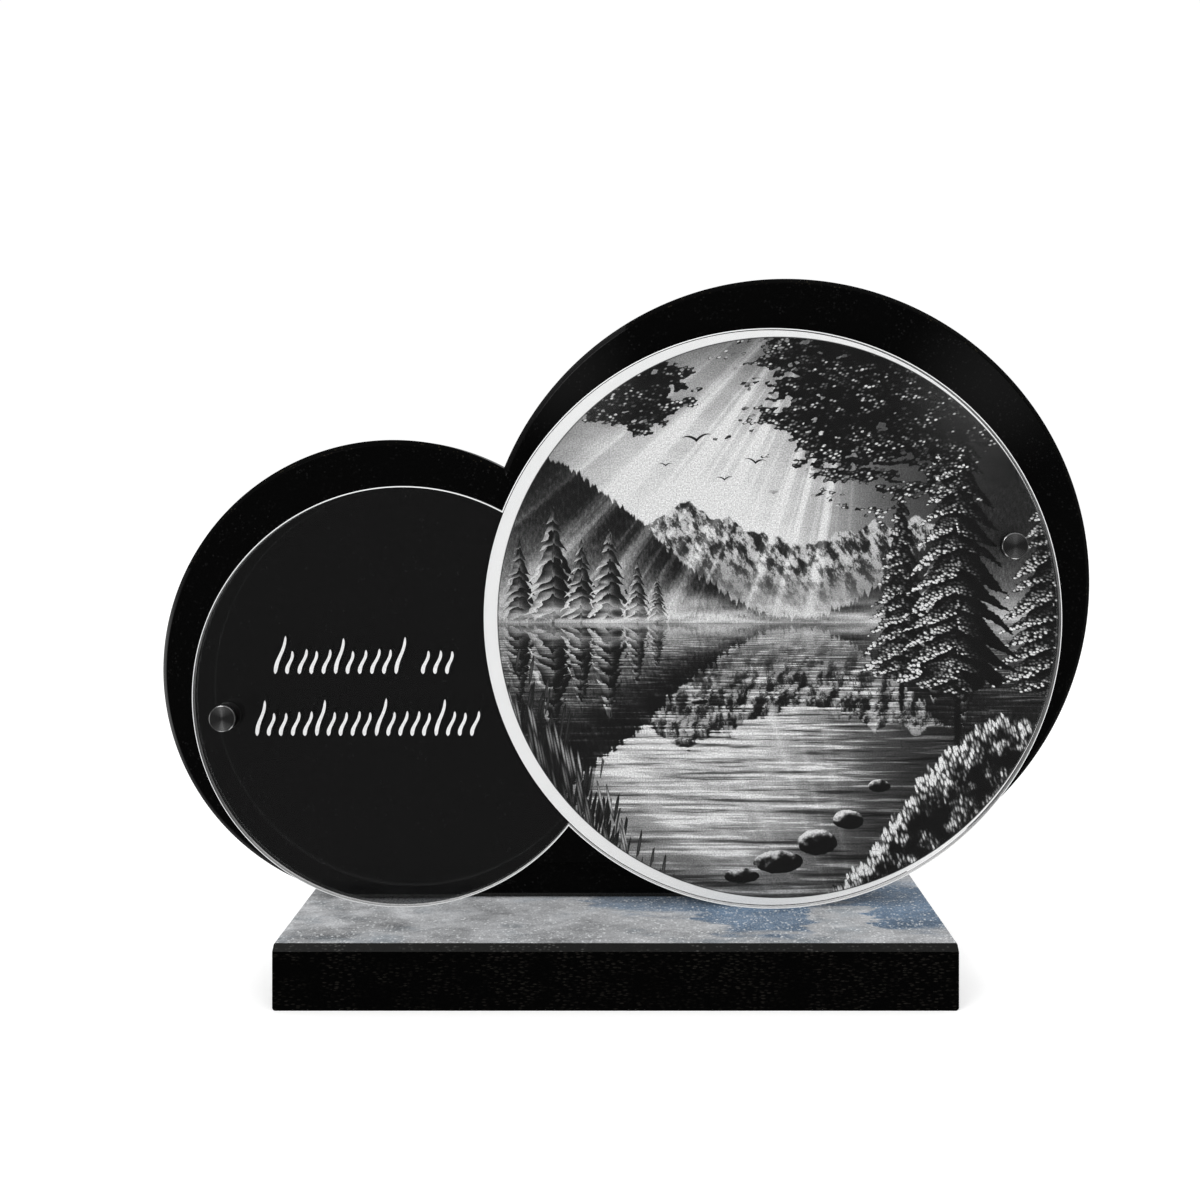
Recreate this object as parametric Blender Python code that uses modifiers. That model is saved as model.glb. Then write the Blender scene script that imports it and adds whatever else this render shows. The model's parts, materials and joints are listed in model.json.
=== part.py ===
"""Funeral plaque: a black granite base and back panel with a clear acrylic sheet held off the panel.

The panel and the sheet share one kind of outline, a small disc on the left that runs into a big disc
on the right. Two round standoffs hold the sheet, a printed film backs its big disc, and an inscription
is engraved in its small disc as two rows of slanted strokes.

Metres, +Z up, X along the base, -Y towards the front. The origin is the centre of the base's underside.
"""

import math
from dataclasses import dataclass

import bmesh
import bpy
from mathutils import Vector

# Fits
TOUCH_GAP = 0.0003
STUD_CLEARANCE = 0.0003

# Base slab
BASE_WIDTH = 0.300
BASE_DEPTH = 0.100
BASE_HEIGHT = 0.0285
BASE_FRONT_CHAMFER = 0.0027
BASE_FOOT_ROUNDING = 0.0015
BASE_ARRIS = 0.0006

# Back panel: the small disc is cut flat by the foot, and the big disc runs into the foot on a tangent
PANEL_THICKNESS = 0.020
PANEL_CHAMFER = 0.0026
PANEL_BACK_MARGIN = 0.025
PANEL_BIG_RADIUS = 0.148
PANEL_BIG_X = 0.082
PANEL_BIG_LIFT = 0.005
PANEL_SMALL_RADIUS = 0.112
PANEL_SMALL_X = -0.109
PANEL_SMALL_CUT = 0.0015
PANEL_FOOT_TANGENT = math.radians(-70)

# Clear sheet: its discs are shifted sideways from the panel's discs and hang just above the base
SHEET_THICKNESS = 0.005
SHEET_CHAMFER = 0.0004
SHEET_BIG_RADIUS = 0.1365
SHEET_BIG_SHIFT = -0.009
SHEET_BIG_LIFT = 0.0015
SHEET_SMALL_RADIUS = 0.099
SHEET_SMALL_SHIFT = 0.0083
SHEET_SMALL_LIFT = 0.0022

# Printed film behind the sheet's big disc
PRINT_THICKNESS = 0.0003
PRINT_EDGE_MARGIN = 0.0006

# Standoffs: each stands in from its disc's rim, at an angle from +X towards +Z
STANDOFF_RADIUS = 0.00625
STANDOFF_LENGTH = 0.012
LEFT_STANDOFF_INSET = 0.0152
LEFT_STANDOFF_ANGLE = math.radians(186.5)
RIGHT_STANDOFF_INSET = 0.0184
RIGHT_STANDOFF_ANGLE = math.radians(16.9)
CAP_THICKNESS = 0.004
CAP_BEVEL = 0.0005
BARREL_BEVEL = 0.0004
STUD_RADIUS = 0.0025
STUD_ENGAGEMENT = 0.007
STUD_POINT = 0.0005
SPIGOT_RADIUS = 0.0025
SPIGOT_LENGTH = 0.008
BORE_SPARE_DEPTH = 0.001

# Engraved rows, placed from the middle of the sheet's small disc: groups are runs of strokes
ENGRAVING_DEPTH = 0.0005
STROKE_WIDTH = 0.0021
STROKE_HEIGHT = 0.0113
TALL_STROKE_HEIGHT = 0.0175
TALL_STROKE_EVERY = 5
STROKE_SLANT = math.radians(14)
STROKE_TAPER = 0.55
GROUP_SPACE = 0.007
UPPER_ROW_WIDTH = 0.0865
UPPER_ROW_SHIFT = -0.0175
UPPER_ROW_RISE = 0.0107
UPPER_ROW_GROUPS = (11, 3)
LOWER_ROW_WIDTH = 0.1065
LOWER_ROW_SHIFT = -0.0160
LOWER_ROW_RISE = -0.0184
LOWER_ROW_GROUPS = (19,)

# Facets
DISC_SIDES = 144
TURNED_SIDES = 32
HOLE_SIDES = 24
FOOT_ROUNDING_FACETS = 3
CUTTER_OVERRUN = 0.002
MERGE_DISTANCE = 1e-6
SHARP_ANGLE = math.radians(30)

# Places that follow from the sizes
PANEL_BACK_Y = BASE_DEPTH / 2 - PANEL_BACK_MARGIN
PANEL_FRONT_Y = PANEL_BACK_Y - PANEL_THICKNESS
SHEET_BACK_Y = PANEL_FRONT_Y - STANDOFF_LENGTH
SHEET_FRONT_Y = SHEET_BACK_Y - SHEET_THICKNESS
FACING_FRONT = (math.radians(90), 0, 0)


@dataclass(frozen=True)
class Disc:
    """A disc in an upright plane: its centre's X and Z, and its radius."""

    x: float
    z: float
    radius: float

    def at(self, angle, inset=0.0):
        """The point at an angle from +X towards +Z, on the rim or in from it."""
        reach = self.radius - inset
        return Vector((self.x + reach * math.cos(angle), self.z + reach * math.sin(angle)))

    def angle_of(self, point):
        """The angle, from +X towards +Z, at which a point lies."""
        return math.atan2(point.y - self.z, point.x - self.x)

    def arc(self, start, end):
        """Points counterclockwise from one angle to another, without the last one."""
        sweep = (end - start) % (2 * math.pi)
        steps = max(2, math.ceil(sweep / (2 * math.pi) * DISC_SIDES))
        return [self.at(start + sweep * step / steps) for step in range(steps)]

    def rim_left_at(self, z):
        """The rim's left point at a height."""
        return Vector((self.x - math.sqrt(self.radius**2 - (z - self.z) ** 2), z))


PANEL_BIG = Disc(PANEL_BIG_X, BASE_HEIGHT + PANEL_BIG_LIFT + PANEL_BIG_RADIUS, PANEL_BIG_RADIUS)
PANEL_SMALL = Disc(PANEL_SMALL_X, BASE_HEIGHT - PANEL_SMALL_CUT + PANEL_SMALL_RADIUS, PANEL_SMALL_RADIUS)
SHEET_BIG = Disc(
    PANEL_BIG_X + SHEET_BIG_SHIFT, BASE_HEIGHT + SHEET_BIG_LIFT + SHEET_BIG_RADIUS, SHEET_BIG_RADIUS
)
SHEET_SMALL = Disc(
    PANEL_SMALL_X + SHEET_SMALL_SHIFT,
    BASE_HEIGHT + SHEET_SMALL_LIFT + SHEET_SMALL_RADIUS,
    SHEET_SMALL_RADIUS,
)
STANDOFF_PLACES = {
    "left": SHEET_SMALL.at(LEFT_STANDOFF_ANGLE, LEFT_STANDOFF_INSET),
    "right": SHEET_BIG.at(RIGHT_STANDOFF_ANGLE, RIGHT_STANDOFF_INSET),
}


def crossing(big, small, above):
    """Where two rims cross, above or below the line between their centres."""
    between = Vector((big.x - small.x, big.z - small.z))
    apart = between.length
    along = (small.radius**2 - big.radius**2 + apart**2) / (2 * apart)
    aside = math.sqrt(small.radius**2 - along**2) * (1 if above else -1)
    unit = between / apart
    return Vector((small.x, small.z)) + unit * along + Vector((-unit.y, unit.x)) * aside


def two_disc_outline(big, small):
    """The outline round two overlapping discs, counterclockwise."""
    top = crossing(big, small, above=True)
    bottom = crossing(big, small, above=False)
    outline = big.arc(big.angle_of(bottom), big.angle_of(top))
    outline += small.arc(small.angle_of(top), small.angle_of(bottom))
    return outline


def footed_outline(big, small, foot_z):
    """The outline round two discs and the flat foot that both stand on, counterclockwise."""
    top = crossing(big, small, above=True)
    foot_left = small.rim_left_at(foot_z)
    leaving = big.at(PANEL_FOOT_TANGENT)
    tangent = Vector((-math.sin(PANEL_FOOT_TANGENT), math.cos(PANEL_FOOT_TANGENT)))
    foot_right = leaving - tangent * ((leaving.y - foot_z) / tangent.y)
    outline = [foot_left, foot_right]
    outline += big.arc(PANEL_FOOT_TANGENT, big.angle_of(top))
    outline += small.arc(small.angle_of(top), small.angle_of(foot_left))
    return outline


def new_collection(name):
    """A collection in the scene."""
    collection = bpy.data.collections.new(name)
    bpy.context.scene.collection.children.link(collection)
    return collection


def new_material(name, color, roughness, metallic=0.0, transmission=0.0):
    """A Principled material with plain values."""
    material = bpy.data.materials.new(name)
    material.use_nodes = True
    shader = material.node_tree.nodes["Principled BSDF"]
    shader.inputs["Base Color"].default_value = (*color, 1)
    shader.inputs["Roughness"].default_value = roughness
    shader.inputs["Metallic"].default_value = metallic
    shader.inputs["Transmission Weight"].default_value = transmission
    return material


def add_part(name, mesh, material):
    """An object of the plaque."""
    part = bpy.data.objects.new(name, mesh)
    mesh.materials.clear()
    mesh.materials.append(material)
    plaque.objects.link(part)
    return part


def add_cutter(name, mesh):
    """An object that only cuts others."""
    cutter = bpy.data.objects.new(name, mesh)
    cutters.objects.link(cutter)
    cutter.hide_render = True
    cutter.display_type = "WIRE"
    return cutter


def cut(part, cutter):
    """Takes the cutter's shape out of the part."""
    boolean = part.modifiers.new(f"cut {cutter.name}", "BOOLEAN")
    boolean.operation = "DIFFERENCE"
    boolean.solver = "EXACT"
    boolean.object = cutter


def evaluated_mesh(guide):
    """The mesh that a guide object makes; the guide is removed."""
    mesh = bpy.data.meshes.new_from_object(guide.evaluated_get(bpy.context.evaluated_depsgraph_get()))
    bpy.data.objects.remove(guide)
    welded = bmesh.new()
    welded.from_mesh(mesh)
    bmesh.ops.remove_doubles(welded, verts=welded.verts, dist=MERGE_DISTANCE)
    bmesh.ops.recalc_face_normals(welded, faces=welded.faces)
    welded.to_mesh(mesh)
    welded.free()
    mesh.shade_smooth()
    mesh.set_sharp_from_angle(angle=SHARP_ANGLE)
    return mesh


def plate_mesh(name, outline, thickness, chamfer):
    """A plate in the local XY plane, centred on it, with both rims chamfered."""
    curve = bpy.data.curves.new(name, "CURVE")
    curve.dimensions = "2D"
    curve.fill_mode = "BOTH"
    curve.extrude = thickness / 2 - chamfer
    curve.bevel_depth = chamfer
    curve.bevel_resolution = 0
    curve.offset = -chamfer
    spline = curve.splines.new("POLY")
    spline.points.add(len(outline) - 1)
    for point, place in zip(spline.points, outline):
        point.co = (place.x, place.y, 0, 1)
    spline.use_cyclic_u = True
    guide = bpy.data.objects.new(f"{name} outline", curve)
    plaque.objects.link(guide)
    return evaluated_mesh(guide)


def cylinder_mesh(name, radius, length, sides):
    """A closed cylinder along local Z, centred on the origin."""
    mesh = bpy.data.meshes.new(name)
    solid = bmesh.new()
    bmesh.ops.create_cone(
        solid, cap_ends=True, segments=sides, radius1=radius, radius2=radius, depth=length
    )
    solid.to_mesh(mesh)
    solid.free()
    return mesh


def turned_mesh(name, profile):
    """A shape turned about Z from a profile of (radius, z) that runs down its outside."""
    line = bmesh.new()
    points = [line.verts.new((radius, 0, z)) for radius, z in profile]
    for start, end in zip(points, points[1:]):
        line.edges.new((start, end))
    mesh = bpy.data.meshes.new(f"{name} profile")
    line.to_mesh(mesh)
    line.free()
    guide = bpy.data.objects.new(f"{name} profile", mesh)
    plaque.objects.link(guide)
    screw = guide.modifiers.new("turning", "SCREW")
    screw.steps = TURNED_SIDES
    screw.render_steps = TURNED_SIDES
    screw.use_merge_vertices = True
    screw.merge_threshold = MERGE_DISTANCE
    return evaluated_mesh(guide)


def drill_at(side, what, radius, front_y, back_y):
    """A round cutter on a standoff's axis, from one Y to another."""
    place = STANDOFF_PLACES[side]
    name = f"{what} drill {side}"
    drill = add_cutter(name, cylinder_mesh(name, radius, back_y - front_y, HOLE_SIDES))
    drill.rotation_euler = FACING_FRONT
    drill.location = (place.x, (front_y + back_y) / 2, place.y)
    return drill


def build_base():
    """The granite slab: front top edge chamfered, side feet rounded, the other top edges eased."""
    slab = bmesh.new()
    bmesh.ops.create_cube(slab, size=1)
    bmesh.ops.scale(slab, vec=(BASE_WIDTH, BASE_DEPTH, BASE_HEIGHT), verts=slab.verts)
    bmesh.ops.translate(slab, vec=(0, 0, BASE_HEIGHT / 2), verts=slab.verts)

    def ease(width, facets, *tests):
        """Bevels the edges whose ends both pass every test."""
        edges = [edge for edge in slab.edges if all(test(vert.co) for test in tests for vert in edge.verts)]
        bmesh.ops.bevel(slab, geom=edges, offset=width, segments=facets, profile=0.5, affect="EDGES")

    def left(at):
        return at.x < -BASE_WIDTH / 2 + MERGE_DISTANCE

    def right(at):
        return at.x > BASE_WIDTH / 2 - MERGE_DISTANCE

    def front(at):
        return at.y < -BASE_DEPTH / 2 + MERGE_DISTANCE

    def back(at):
        return at.y > BASE_DEPTH / 2 - MERGE_DISTANCE

    def top(at):
        return at.z > BASE_HEIGHT - MERGE_DISTANCE

    def foot(at):
        return at.z < MERGE_DISTANCE

    ease(BASE_FOOT_ROUNDING, FOOT_ROUNDING_FACETS, left, foot)
    ease(BASE_FOOT_ROUNDING, FOOT_ROUNDING_FACETS, right, foot)
    ease(BASE_FRONT_CHAMFER, 1, front, top)
    for side in (left, right, back):
        ease(BASE_ARRIS, 1, side, top)
    mesh = bpy.data.meshes.new("base")
    slab.to_mesh(mesh)
    slab.free()
    return add_part("base", mesh, new_material("base granite", (0.02, 0.02, 0.02), 0.15))


def build_back_panel():
    """The black panel, standing on the base, drilled for the standoffs' spigots."""
    outline = footed_outline(PANEL_BIG, PANEL_SMALL, BASE_HEIGHT + TOUCH_GAP)
    mesh = plate_mesh("back_panel", outline, PANEL_THICKNESS, PANEL_CHAMFER)
    panel = add_part("back_panel", mesh, new_material("panel granite", (0.01, 0.01, 0.01), 0.08))
    panel.rotation_euler = FACING_FRONT
    panel.location.y = PANEL_FRONT_Y + PANEL_THICKNESS / 2
    floor_y = PANEL_FRONT_Y + SPIGOT_LENGTH + BORE_SPARE_DEPTH
    for side in STANDOFF_PLACES:
        radius = SPIGOT_RADIUS + STUD_CLEARANCE
        cut(panel, drill_at(side, "panel", radius, PANEL_FRONT_Y - CUTTER_OVERRUN, floor_y))


def build_front_panel():
    """The clear sheet, drilled for the studs and engraved with two rows of strokes."""
    outline = two_disc_outline(SHEET_BIG, SHEET_SMALL)
    mesh = plate_mesh("front_panel", outline, SHEET_THICKNESS, SHEET_CHAMFER)
    clear = new_material("clear acrylic", (0.9, 0.93, 0.93), 0.02, transmission=1.0)
    sheet = add_part("front_panel", mesh, clear)
    sheet.rotation_euler = FACING_FRONT
    sheet.location.y = SHEET_FRONT_Y + SHEET_THICKNESS / 2
    for side in STANDOFF_PLACES:
        radius = STUD_RADIUS + STUD_CLEARANCE
        front_y = SHEET_FRONT_Y - CUTTER_OVERRUN
        cut(sheet, drill_at(side, "sheet", radius, front_y, SHEET_BACK_Y + CUTTER_OVERRUN))
    cut(sheet, engraving_cutter())


def engraving_cutter():
    """All the strokes of both rows as one cutter that reaches in from the sheet's front."""
    strokes = bmesh.new()
    add_row(strokes, UPPER_ROW_WIDTH, UPPER_ROW_SHIFT, UPPER_ROW_RISE, UPPER_ROW_GROUPS)
    add_row(strokes, LOWER_ROW_WIDTH, LOWER_ROW_SHIFT, LOWER_ROW_RISE, LOWER_ROW_GROUPS)
    mesh = bpy.data.meshes.new("engraving")
    strokes.to_mesh(mesh)
    strokes.free()
    return add_cutter("engraving", mesh)


def add_row(strokes, width, shift, rise, groups):
    """One row of strokes, centred on a shift from the small disc's middle."""
    spaces = len(groups) - 1
    pitch = (width - spaces * GROUP_SPACE) / sum(groups)
    x = SHEET_SMALL.x + shift - width / 2
    drawn = 0
    for count in groups:
        for _ in range(count):
            tall = drawn % TALL_STROKE_EVERY == 0
            add_stroke(strokes, x, SHEET_SMALL.z + rise, TALL_STROKE_HEIGHT if tall else STROKE_HEIGHT)
            x += pitch
            drawn += 1
        x += GROUP_SPACE


def add_stroke(strokes, x, z, height):
    """One slanted stroke, broad at its foot and narrower at its head."""
    cutting_depth = ENGRAVING_DEPTH + CUTTER_OVERRUN
    stroke = bmesh.ops.create_cube(strokes, size=1)
    for vert in stroke["verts"]:
        width = STROKE_WIDTH * (STROKE_TAPER if vert.co.z > 0 else 1)
        climb = height * (vert.co.z + 0.5)
        across = vert.co.x * width + STROKE_WIDTH / 2 + climb * math.tan(STROKE_SLANT)
        vert.co = (
            x + across,
            SHEET_FRONT_Y + ENGRAVING_DEPTH + cutting_depth * (vert.co.y - 0.5),
            z + climb,
        )


def build_picture_print():
    """The printed film behind the big disc, holed for the right-hand stud."""
    radius = SHEET_BIG_RADIUS - PRINT_EDGE_MARGIN
    mesh = cylinder_mesh("picture_print", radius, PRINT_THICKNESS, DISC_SIDES)
    film = add_part("picture_print", mesh, new_material("print", (0.35, 0.35, 0.35), 0.5))
    film.rotation_euler = FACING_FRONT
    front_y = SHEET_BACK_Y + TOUCH_GAP
    back_y = front_y + PRINT_THICKNESS
    film.location = (SHEET_BIG.x, (front_y + back_y) / 2, SHEET_BIG.z)
    radius = STUD_RADIUS + STUD_CLEARANCE
    cut(film, drill_at("right", "print", radius, front_y - CUTTER_OVERRUN, back_y + CUTTER_OVERRUN))


def build_standoff(side, film_behind_sheet, material):
    """A spacer barrel on the panel and a cap whose stud passes the sheet into the barrel."""
    place = STANDOFF_PLACES[side]
    axis = bpy.data.objects.new(f"standoff {side} axis", None)
    plaque.objects.link(axis)
    axis.location = (place.x, PANEL_FRONT_Y, place.y)
    axis.rotation_euler = FACING_FRONT
    mouth = STANDOFF_LENGTH - film_behind_sheet - TOUCH_GAP
    bore_radius = STUD_RADIUS + STUD_CLEARANCE
    stud_end = STANDOFF_LENGTH - STUD_ENGAGEMENT
    bore_floor = stud_end - BORE_SPARE_DEPTH
    barrel_profile = [
        (0, bore_floor),
        (bore_radius, bore_floor),
        (bore_radius, mouth),
        (STANDOFF_RADIUS - BARREL_BEVEL, mouth),
        (STANDOFF_RADIUS, mouth - BARREL_BEVEL),
        (STANDOFF_RADIUS, TOUCH_GAP + BARREL_BEVEL),
        (STANDOFF_RADIUS - BARREL_BEVEL, TOUCH_GAP),
        (SPIGOT_RADIUS, TOUCH_GAP),
        (SPIGOT_RADIUS, -SPIGOT_LENGTH),
        (0, -SPIGOT_LENGTH),
    ]
    cap_seat = STANDOFF_LENGTH + SHEET_THICKNESS + TOUCH_GAP
    cap_face = cap_seat + CAP_THICKNESS
    cap_profile = [
        (0, cap_face),
        (STANDOFF_RADIUS - CAP_BEVEL, cap_face),
        (STANDOFF_RADIUS, cap_face - CAP_BEVEL),
        (STANDOFF_RADIUS, cap_seat),
        (STUD_RADIUS, cap_seat),
        (STUD_RADIUS, stud_end + STUD_POINT),
        (STUD_RADIUS - STUD_POINT, stud_end),
        (0, stud_end),
    ]
    for piece, profile in (("barrel", barrel_profile), ("cap", cap_profile)):
        name = f"standoff_{side}_{piece}"
        part = add_part(name, turned_mesh(name, profile), material)
        part.parent = axis


for leftover in list(bpy.data.objects):
    bpy.data.objects.remove(leftover)
plaque = new_collection("funeral_plaque")
cutters = new_collection("cutters")
build_base()
build_back_panel()
build_front_panel()
build_picture_print()
anodised = new_material("black anodised", (0.03, 0.03, 0.03), 0.3, metallic=1.0)
build_standoff("left", 0, anodised)
build_standoff("right", PRINT_THICKNESS + TOUCH_GAP, anodised)
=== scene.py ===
"""Looks of the funeral plaque: fine meshes and finishes over the CAD frame, the light and the camera.

A polished black granite base and back panel, a clear acrylic sheet held off the panel by two black
standoffs, a printed film with a greyscale lake landscape behind the sheet's big disc, and two rows of
white engraved strokes in its small disc. Metres, +Z up, -Y towards the front.
"""

import json
import logging
import math
from dataclasses import dataclass, field
from enum import Enum, IntEnum
from typing import Any, Callable, NamedTuple, Sequence, Union

import bmesh
import bpy
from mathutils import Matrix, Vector

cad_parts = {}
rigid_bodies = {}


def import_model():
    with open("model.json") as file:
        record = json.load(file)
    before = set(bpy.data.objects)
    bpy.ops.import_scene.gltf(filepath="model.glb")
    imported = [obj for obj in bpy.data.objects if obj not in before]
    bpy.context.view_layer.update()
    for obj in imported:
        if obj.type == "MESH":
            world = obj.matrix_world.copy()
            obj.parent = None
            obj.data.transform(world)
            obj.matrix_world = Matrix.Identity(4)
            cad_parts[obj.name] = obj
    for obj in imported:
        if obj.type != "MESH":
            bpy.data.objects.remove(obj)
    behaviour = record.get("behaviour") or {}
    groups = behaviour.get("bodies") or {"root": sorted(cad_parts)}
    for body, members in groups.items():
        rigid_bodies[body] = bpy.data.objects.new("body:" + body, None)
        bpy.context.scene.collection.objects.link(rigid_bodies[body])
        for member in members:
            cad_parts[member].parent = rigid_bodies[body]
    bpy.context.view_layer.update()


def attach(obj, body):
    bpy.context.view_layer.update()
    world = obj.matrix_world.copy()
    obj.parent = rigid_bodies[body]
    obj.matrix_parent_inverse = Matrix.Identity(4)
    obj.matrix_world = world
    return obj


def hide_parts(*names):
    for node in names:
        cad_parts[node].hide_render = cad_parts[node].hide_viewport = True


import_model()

log = logging.getLogger("plaque")

MERGE_DISTANCE = 1e-6
DRILL_CLEARANCE = 0.002
DISC_STEPS = 288
EYE_GAMMA = 2.2
Point = tuple[float, float]
Place = tuple[float, float, float]
Colour = tuple[float, float, float]


class Body(Enum):
    """The CAD bodies that a piece can ride on."""

    WHOLE = "root"


class Slot(Enum):
    """The record's material slots."""

    BASE = "base_granite"
    PANEL = "panel_granite"
    SHEET = "clear_acrylic"
    PRINT = "print_film"
    STANDOFF = "black_anodised"
    ENGRAVING = "engraving_white"


class PicturePart(Enum):
    """The two parts of the printed picture, which its horizon divides."""

    SKY = "sky"
    WATER = "water"


class Graph:
    """Writes nodes and links into one node tree."""

    def __init__(self, tree: bpy.types.NodeTree) -> None:
        """Keeps the tree that the nodes go into."""
        self.tree = tree

    def add(self, kind: str, inputs: dict[Any, Any] | None = None, **settings: Any) -> bpy.types.Node:
        """Adds a node.

        Args:
            kind: The node's type name.
            inputs: Values, fields or sockets by input name or number.
            **settings: The node's own properties.

        Returns:
            The new node.
        """
        node = self.tree.nodes.new(kind)
        for name, value in settings.items():
            setattr(node, name, value)
        for name, value in (inputs or {}).items():
            self.feed(node.inputs[name], value)
        return node

    def feed(self, socket: bpy.types.NodeSocket, value: Any) -> None:
        """Links a field or a socket into an input, or sets the input to a plain value.

        Args:
            socket: The input.
            value: The field, the socket or the plain value.
        """
        if isinstance(value, Field):
            value = value.socket
        if isinstance(value, bpy.types.NodeSocket):
            self.tree.links.new(value, socket)
        else:
            socket.default_value = value

    def field(self, socket: bpy.types.NodeSocket) -> "Field":
        """The socket as a field that can be calculated with."""
        return Field(self, socket)

    def math(self, operation: str, *values: "Number") -> "Field":
        """A Math node on the values."""
        node = self.add("ShaderNodeMath", dict(enumerate(values)), operation=operation)
        return self.field(node.outputs[0])

    def split(self, vector: bpy.types.NodeSocket) -> tuple["Field", "Field", "Field"]:
        """The vector's three parts."""
        parts = self.add("ShaderNodeSeparateXYZ", {0: vector})
        return tuple(self.field(part) for part in parts.outputs)

    def join(self, x: "Number" = 0.0, y: "Number" = 0.0, z: "Number" = 0.0) -> bpy.types.NodeSocket:
        """A vector of three parts."""
        return self.add("ShaderNodeCombineXYZ", {0: x, 1: y, 2: z}).outputs[0]

    def noise(self, vector: Any, scale: "Number", detail: float = 2.0, roughness: float = 0.5) -> "Field":
        """Noise at a place.

        Args:
            vector: The place.
            scale: How many blots there are to a unit of length.
            detail: How many finer layers there are.
            roughness: How strong the finer layers are.

        Returns:
            The noise, from about 0.2 to 0.8.
        """
        inputs = {"Vector": vector, "Scale": scale, "Detail": detail, "Roughness": roughness}
        return self.field(self.add("ShaderNodeTexNoise", inputs).outputs[0])

    def blend(self, factor: "Number", low: "Number", high: "Number") -> "Field":
        """The value low where the factor is 0 and high where it is 1."""
        node = self.add("ShaderNodeMix", {0: factor, 2: low, 3: high}, data_type="FLOAT")
        return self.field(node.outputs[0])

    def tint(self, factor: "Number", low: Any, high: Any) -> bpy.types.NodeSocket:
        """The colour low where the factor is 0 and high where it is 1."""
        return self.add("ShaderNodeMix", {0: factor, 6: low, 7: high}, data_type="RGBA").outputs[2]

    def use(self, group: bpy.types.NodeTree, inputs: dict[Any, Any]) -> bpy.types.Node:
        """Places a node group with its own inputs."""
        return self.add("ShaderNodeGroup", inputs, node_tree=group)


def calculation(operation: str, swapped: bool = False) -> Callable[["Field", "Number"], "Field"]:
    """A method of Field that adds a Math node.

    Args:
        operation: The node's operation.
        swapped: Whether the field comes second.

    Returns:
        The method.
    """

    def calculate(this: "Field", other: "Number") -> "Field":
        """The result of the operation on the field and the other number."""
        return this.graph.math(operation, *((other, this) if swapped else (this, other)))

    return calculate


@dataclass(frozen=True)
class Field:
    """A number that varies over a surface. Its operators add Math nodes to its graph."""

    graph: Graph
    socket: bpy.types.NodeSocket

    __add__ = calculation("ADD")
    __radd__ = calculation("ADD", swapped=True)
    __sub__ = calculation("SUBTRACT")
    __rsub__ = calculation("SUBTRACT", swapped=True)
    __mul__ = calculation("MULTIPLY")
    __rmul__ = calculation("MULTIPLY", swapped=True)
    __truediv__ = calculation("DIVIDE")
    __rtruediv__ = calculation("DIVIDE", swapped=True)
    __pow__ = calculation("POWER")
    least = calculation("MINIMUM")
    most = calculation("MAXIMUM")

    def __abs__(self) -> "Field":
        """The absolute value."""
        return self.graph.math("ABSOLUTE", self)

    def rise(self, start: "Number", end: "Number", low: "Number" = 0.0, high: "Number" = 1.0) -> "Field":
        """A smooth step.

        Args:
            start: Where the step starts.
            end: Where it ends, which may be the lower of the two.
            low: The value at the start and beyond.
            high: The value at the end and beyond.

        Returns:
            The step.
        """
        inputs = {"Value": self, "From Min": start, "From Max": end, "To Min": low, "To Max": high}
        node = self.graph.add("ShaderNodeMapRange", inputs, interpolation_type="SMOOTHSTEP")
        return self.graph.field(node.outputs[0])

    def ramp(self, stops: Sequence[Point]) -> "Field":
        """A smooth curve.

        Args:
            stops: The curve's points, as (place, value).

        Returns:
            The curve's value at the field.
        """
        node = self.graph.add("ShaderNodeValToRGB", {0: self})
        elements = node.color_ramp.elements
        node.color_ramp.interpolation = "EASE"
        for index, (place, value) in enumerate(stops):
            element = elements[index] if index < len(elements) else elements.new(place)
            element.position = place
            element.color = (value, value, value, 1)
        return self.graph.field(node.outputs[0])


Number = Union[Field, float, int]


def distance(x: Field, y: Field) -> Field:
    """How far a place is from the middle, by its two parts."""
    return (x * x + y * y) ** 0.5


def new_group(name: str, inputs: dict[str, Any], outputs: Sequence[str]) -> tuple[Graph, dict, bpy.types.Node]:
    """Starts a shader node group.

    Args:
        name: The group's name.
        inputs: Default value by input name: a number, or a vector of three.
        outputs: Names of the outputs, all numbers.

    Returns:
        The group's graph, its inputs by name, as fields or vector sockets, and its output node.
    """
    tree = bpy.data.node_groups.new(name, "ShaderNodeTree")
    for label, value in inputs.items():
        vector = isinstance(value, tuple)
        kind = "NodeSocketVector" if vector else "NodeSocketFloat"
        socket = tree.interface.new_socket(name=label, in_out="INPUT", socket_type=kind)
        socket.default_value = value
    for label in outputs:
        tree.interface.new_socket(name=label, in_out="OUTPUT", socket_type="NodeSocketFloat")
    graph = Graph(tree)
    given = graph.add("NodeGroupInput")
    result = graph.add("NodeGroupOutput")
    places = {
        label: given.outputs[label] if isinstance(value, tuple) else graph.field(given.outputs[label])
        for label, value in inputs.items()
    }
    return graph, places, result


def close_group(graph: Graph, result: bpy.types.Node, **outputs: Field) -> bpy.types.NodeTree:
    """Finishes a shader node group.

    Args:
        graph: The group's graph.
        result: The group's output node.
        **outputs: What the group puts out, by the outputs' names.

    Returns:
        The group.
    """
    for name, value in outputs.items():
        graph.feed(result.inputs[name], value)
    return graph.tree


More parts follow.
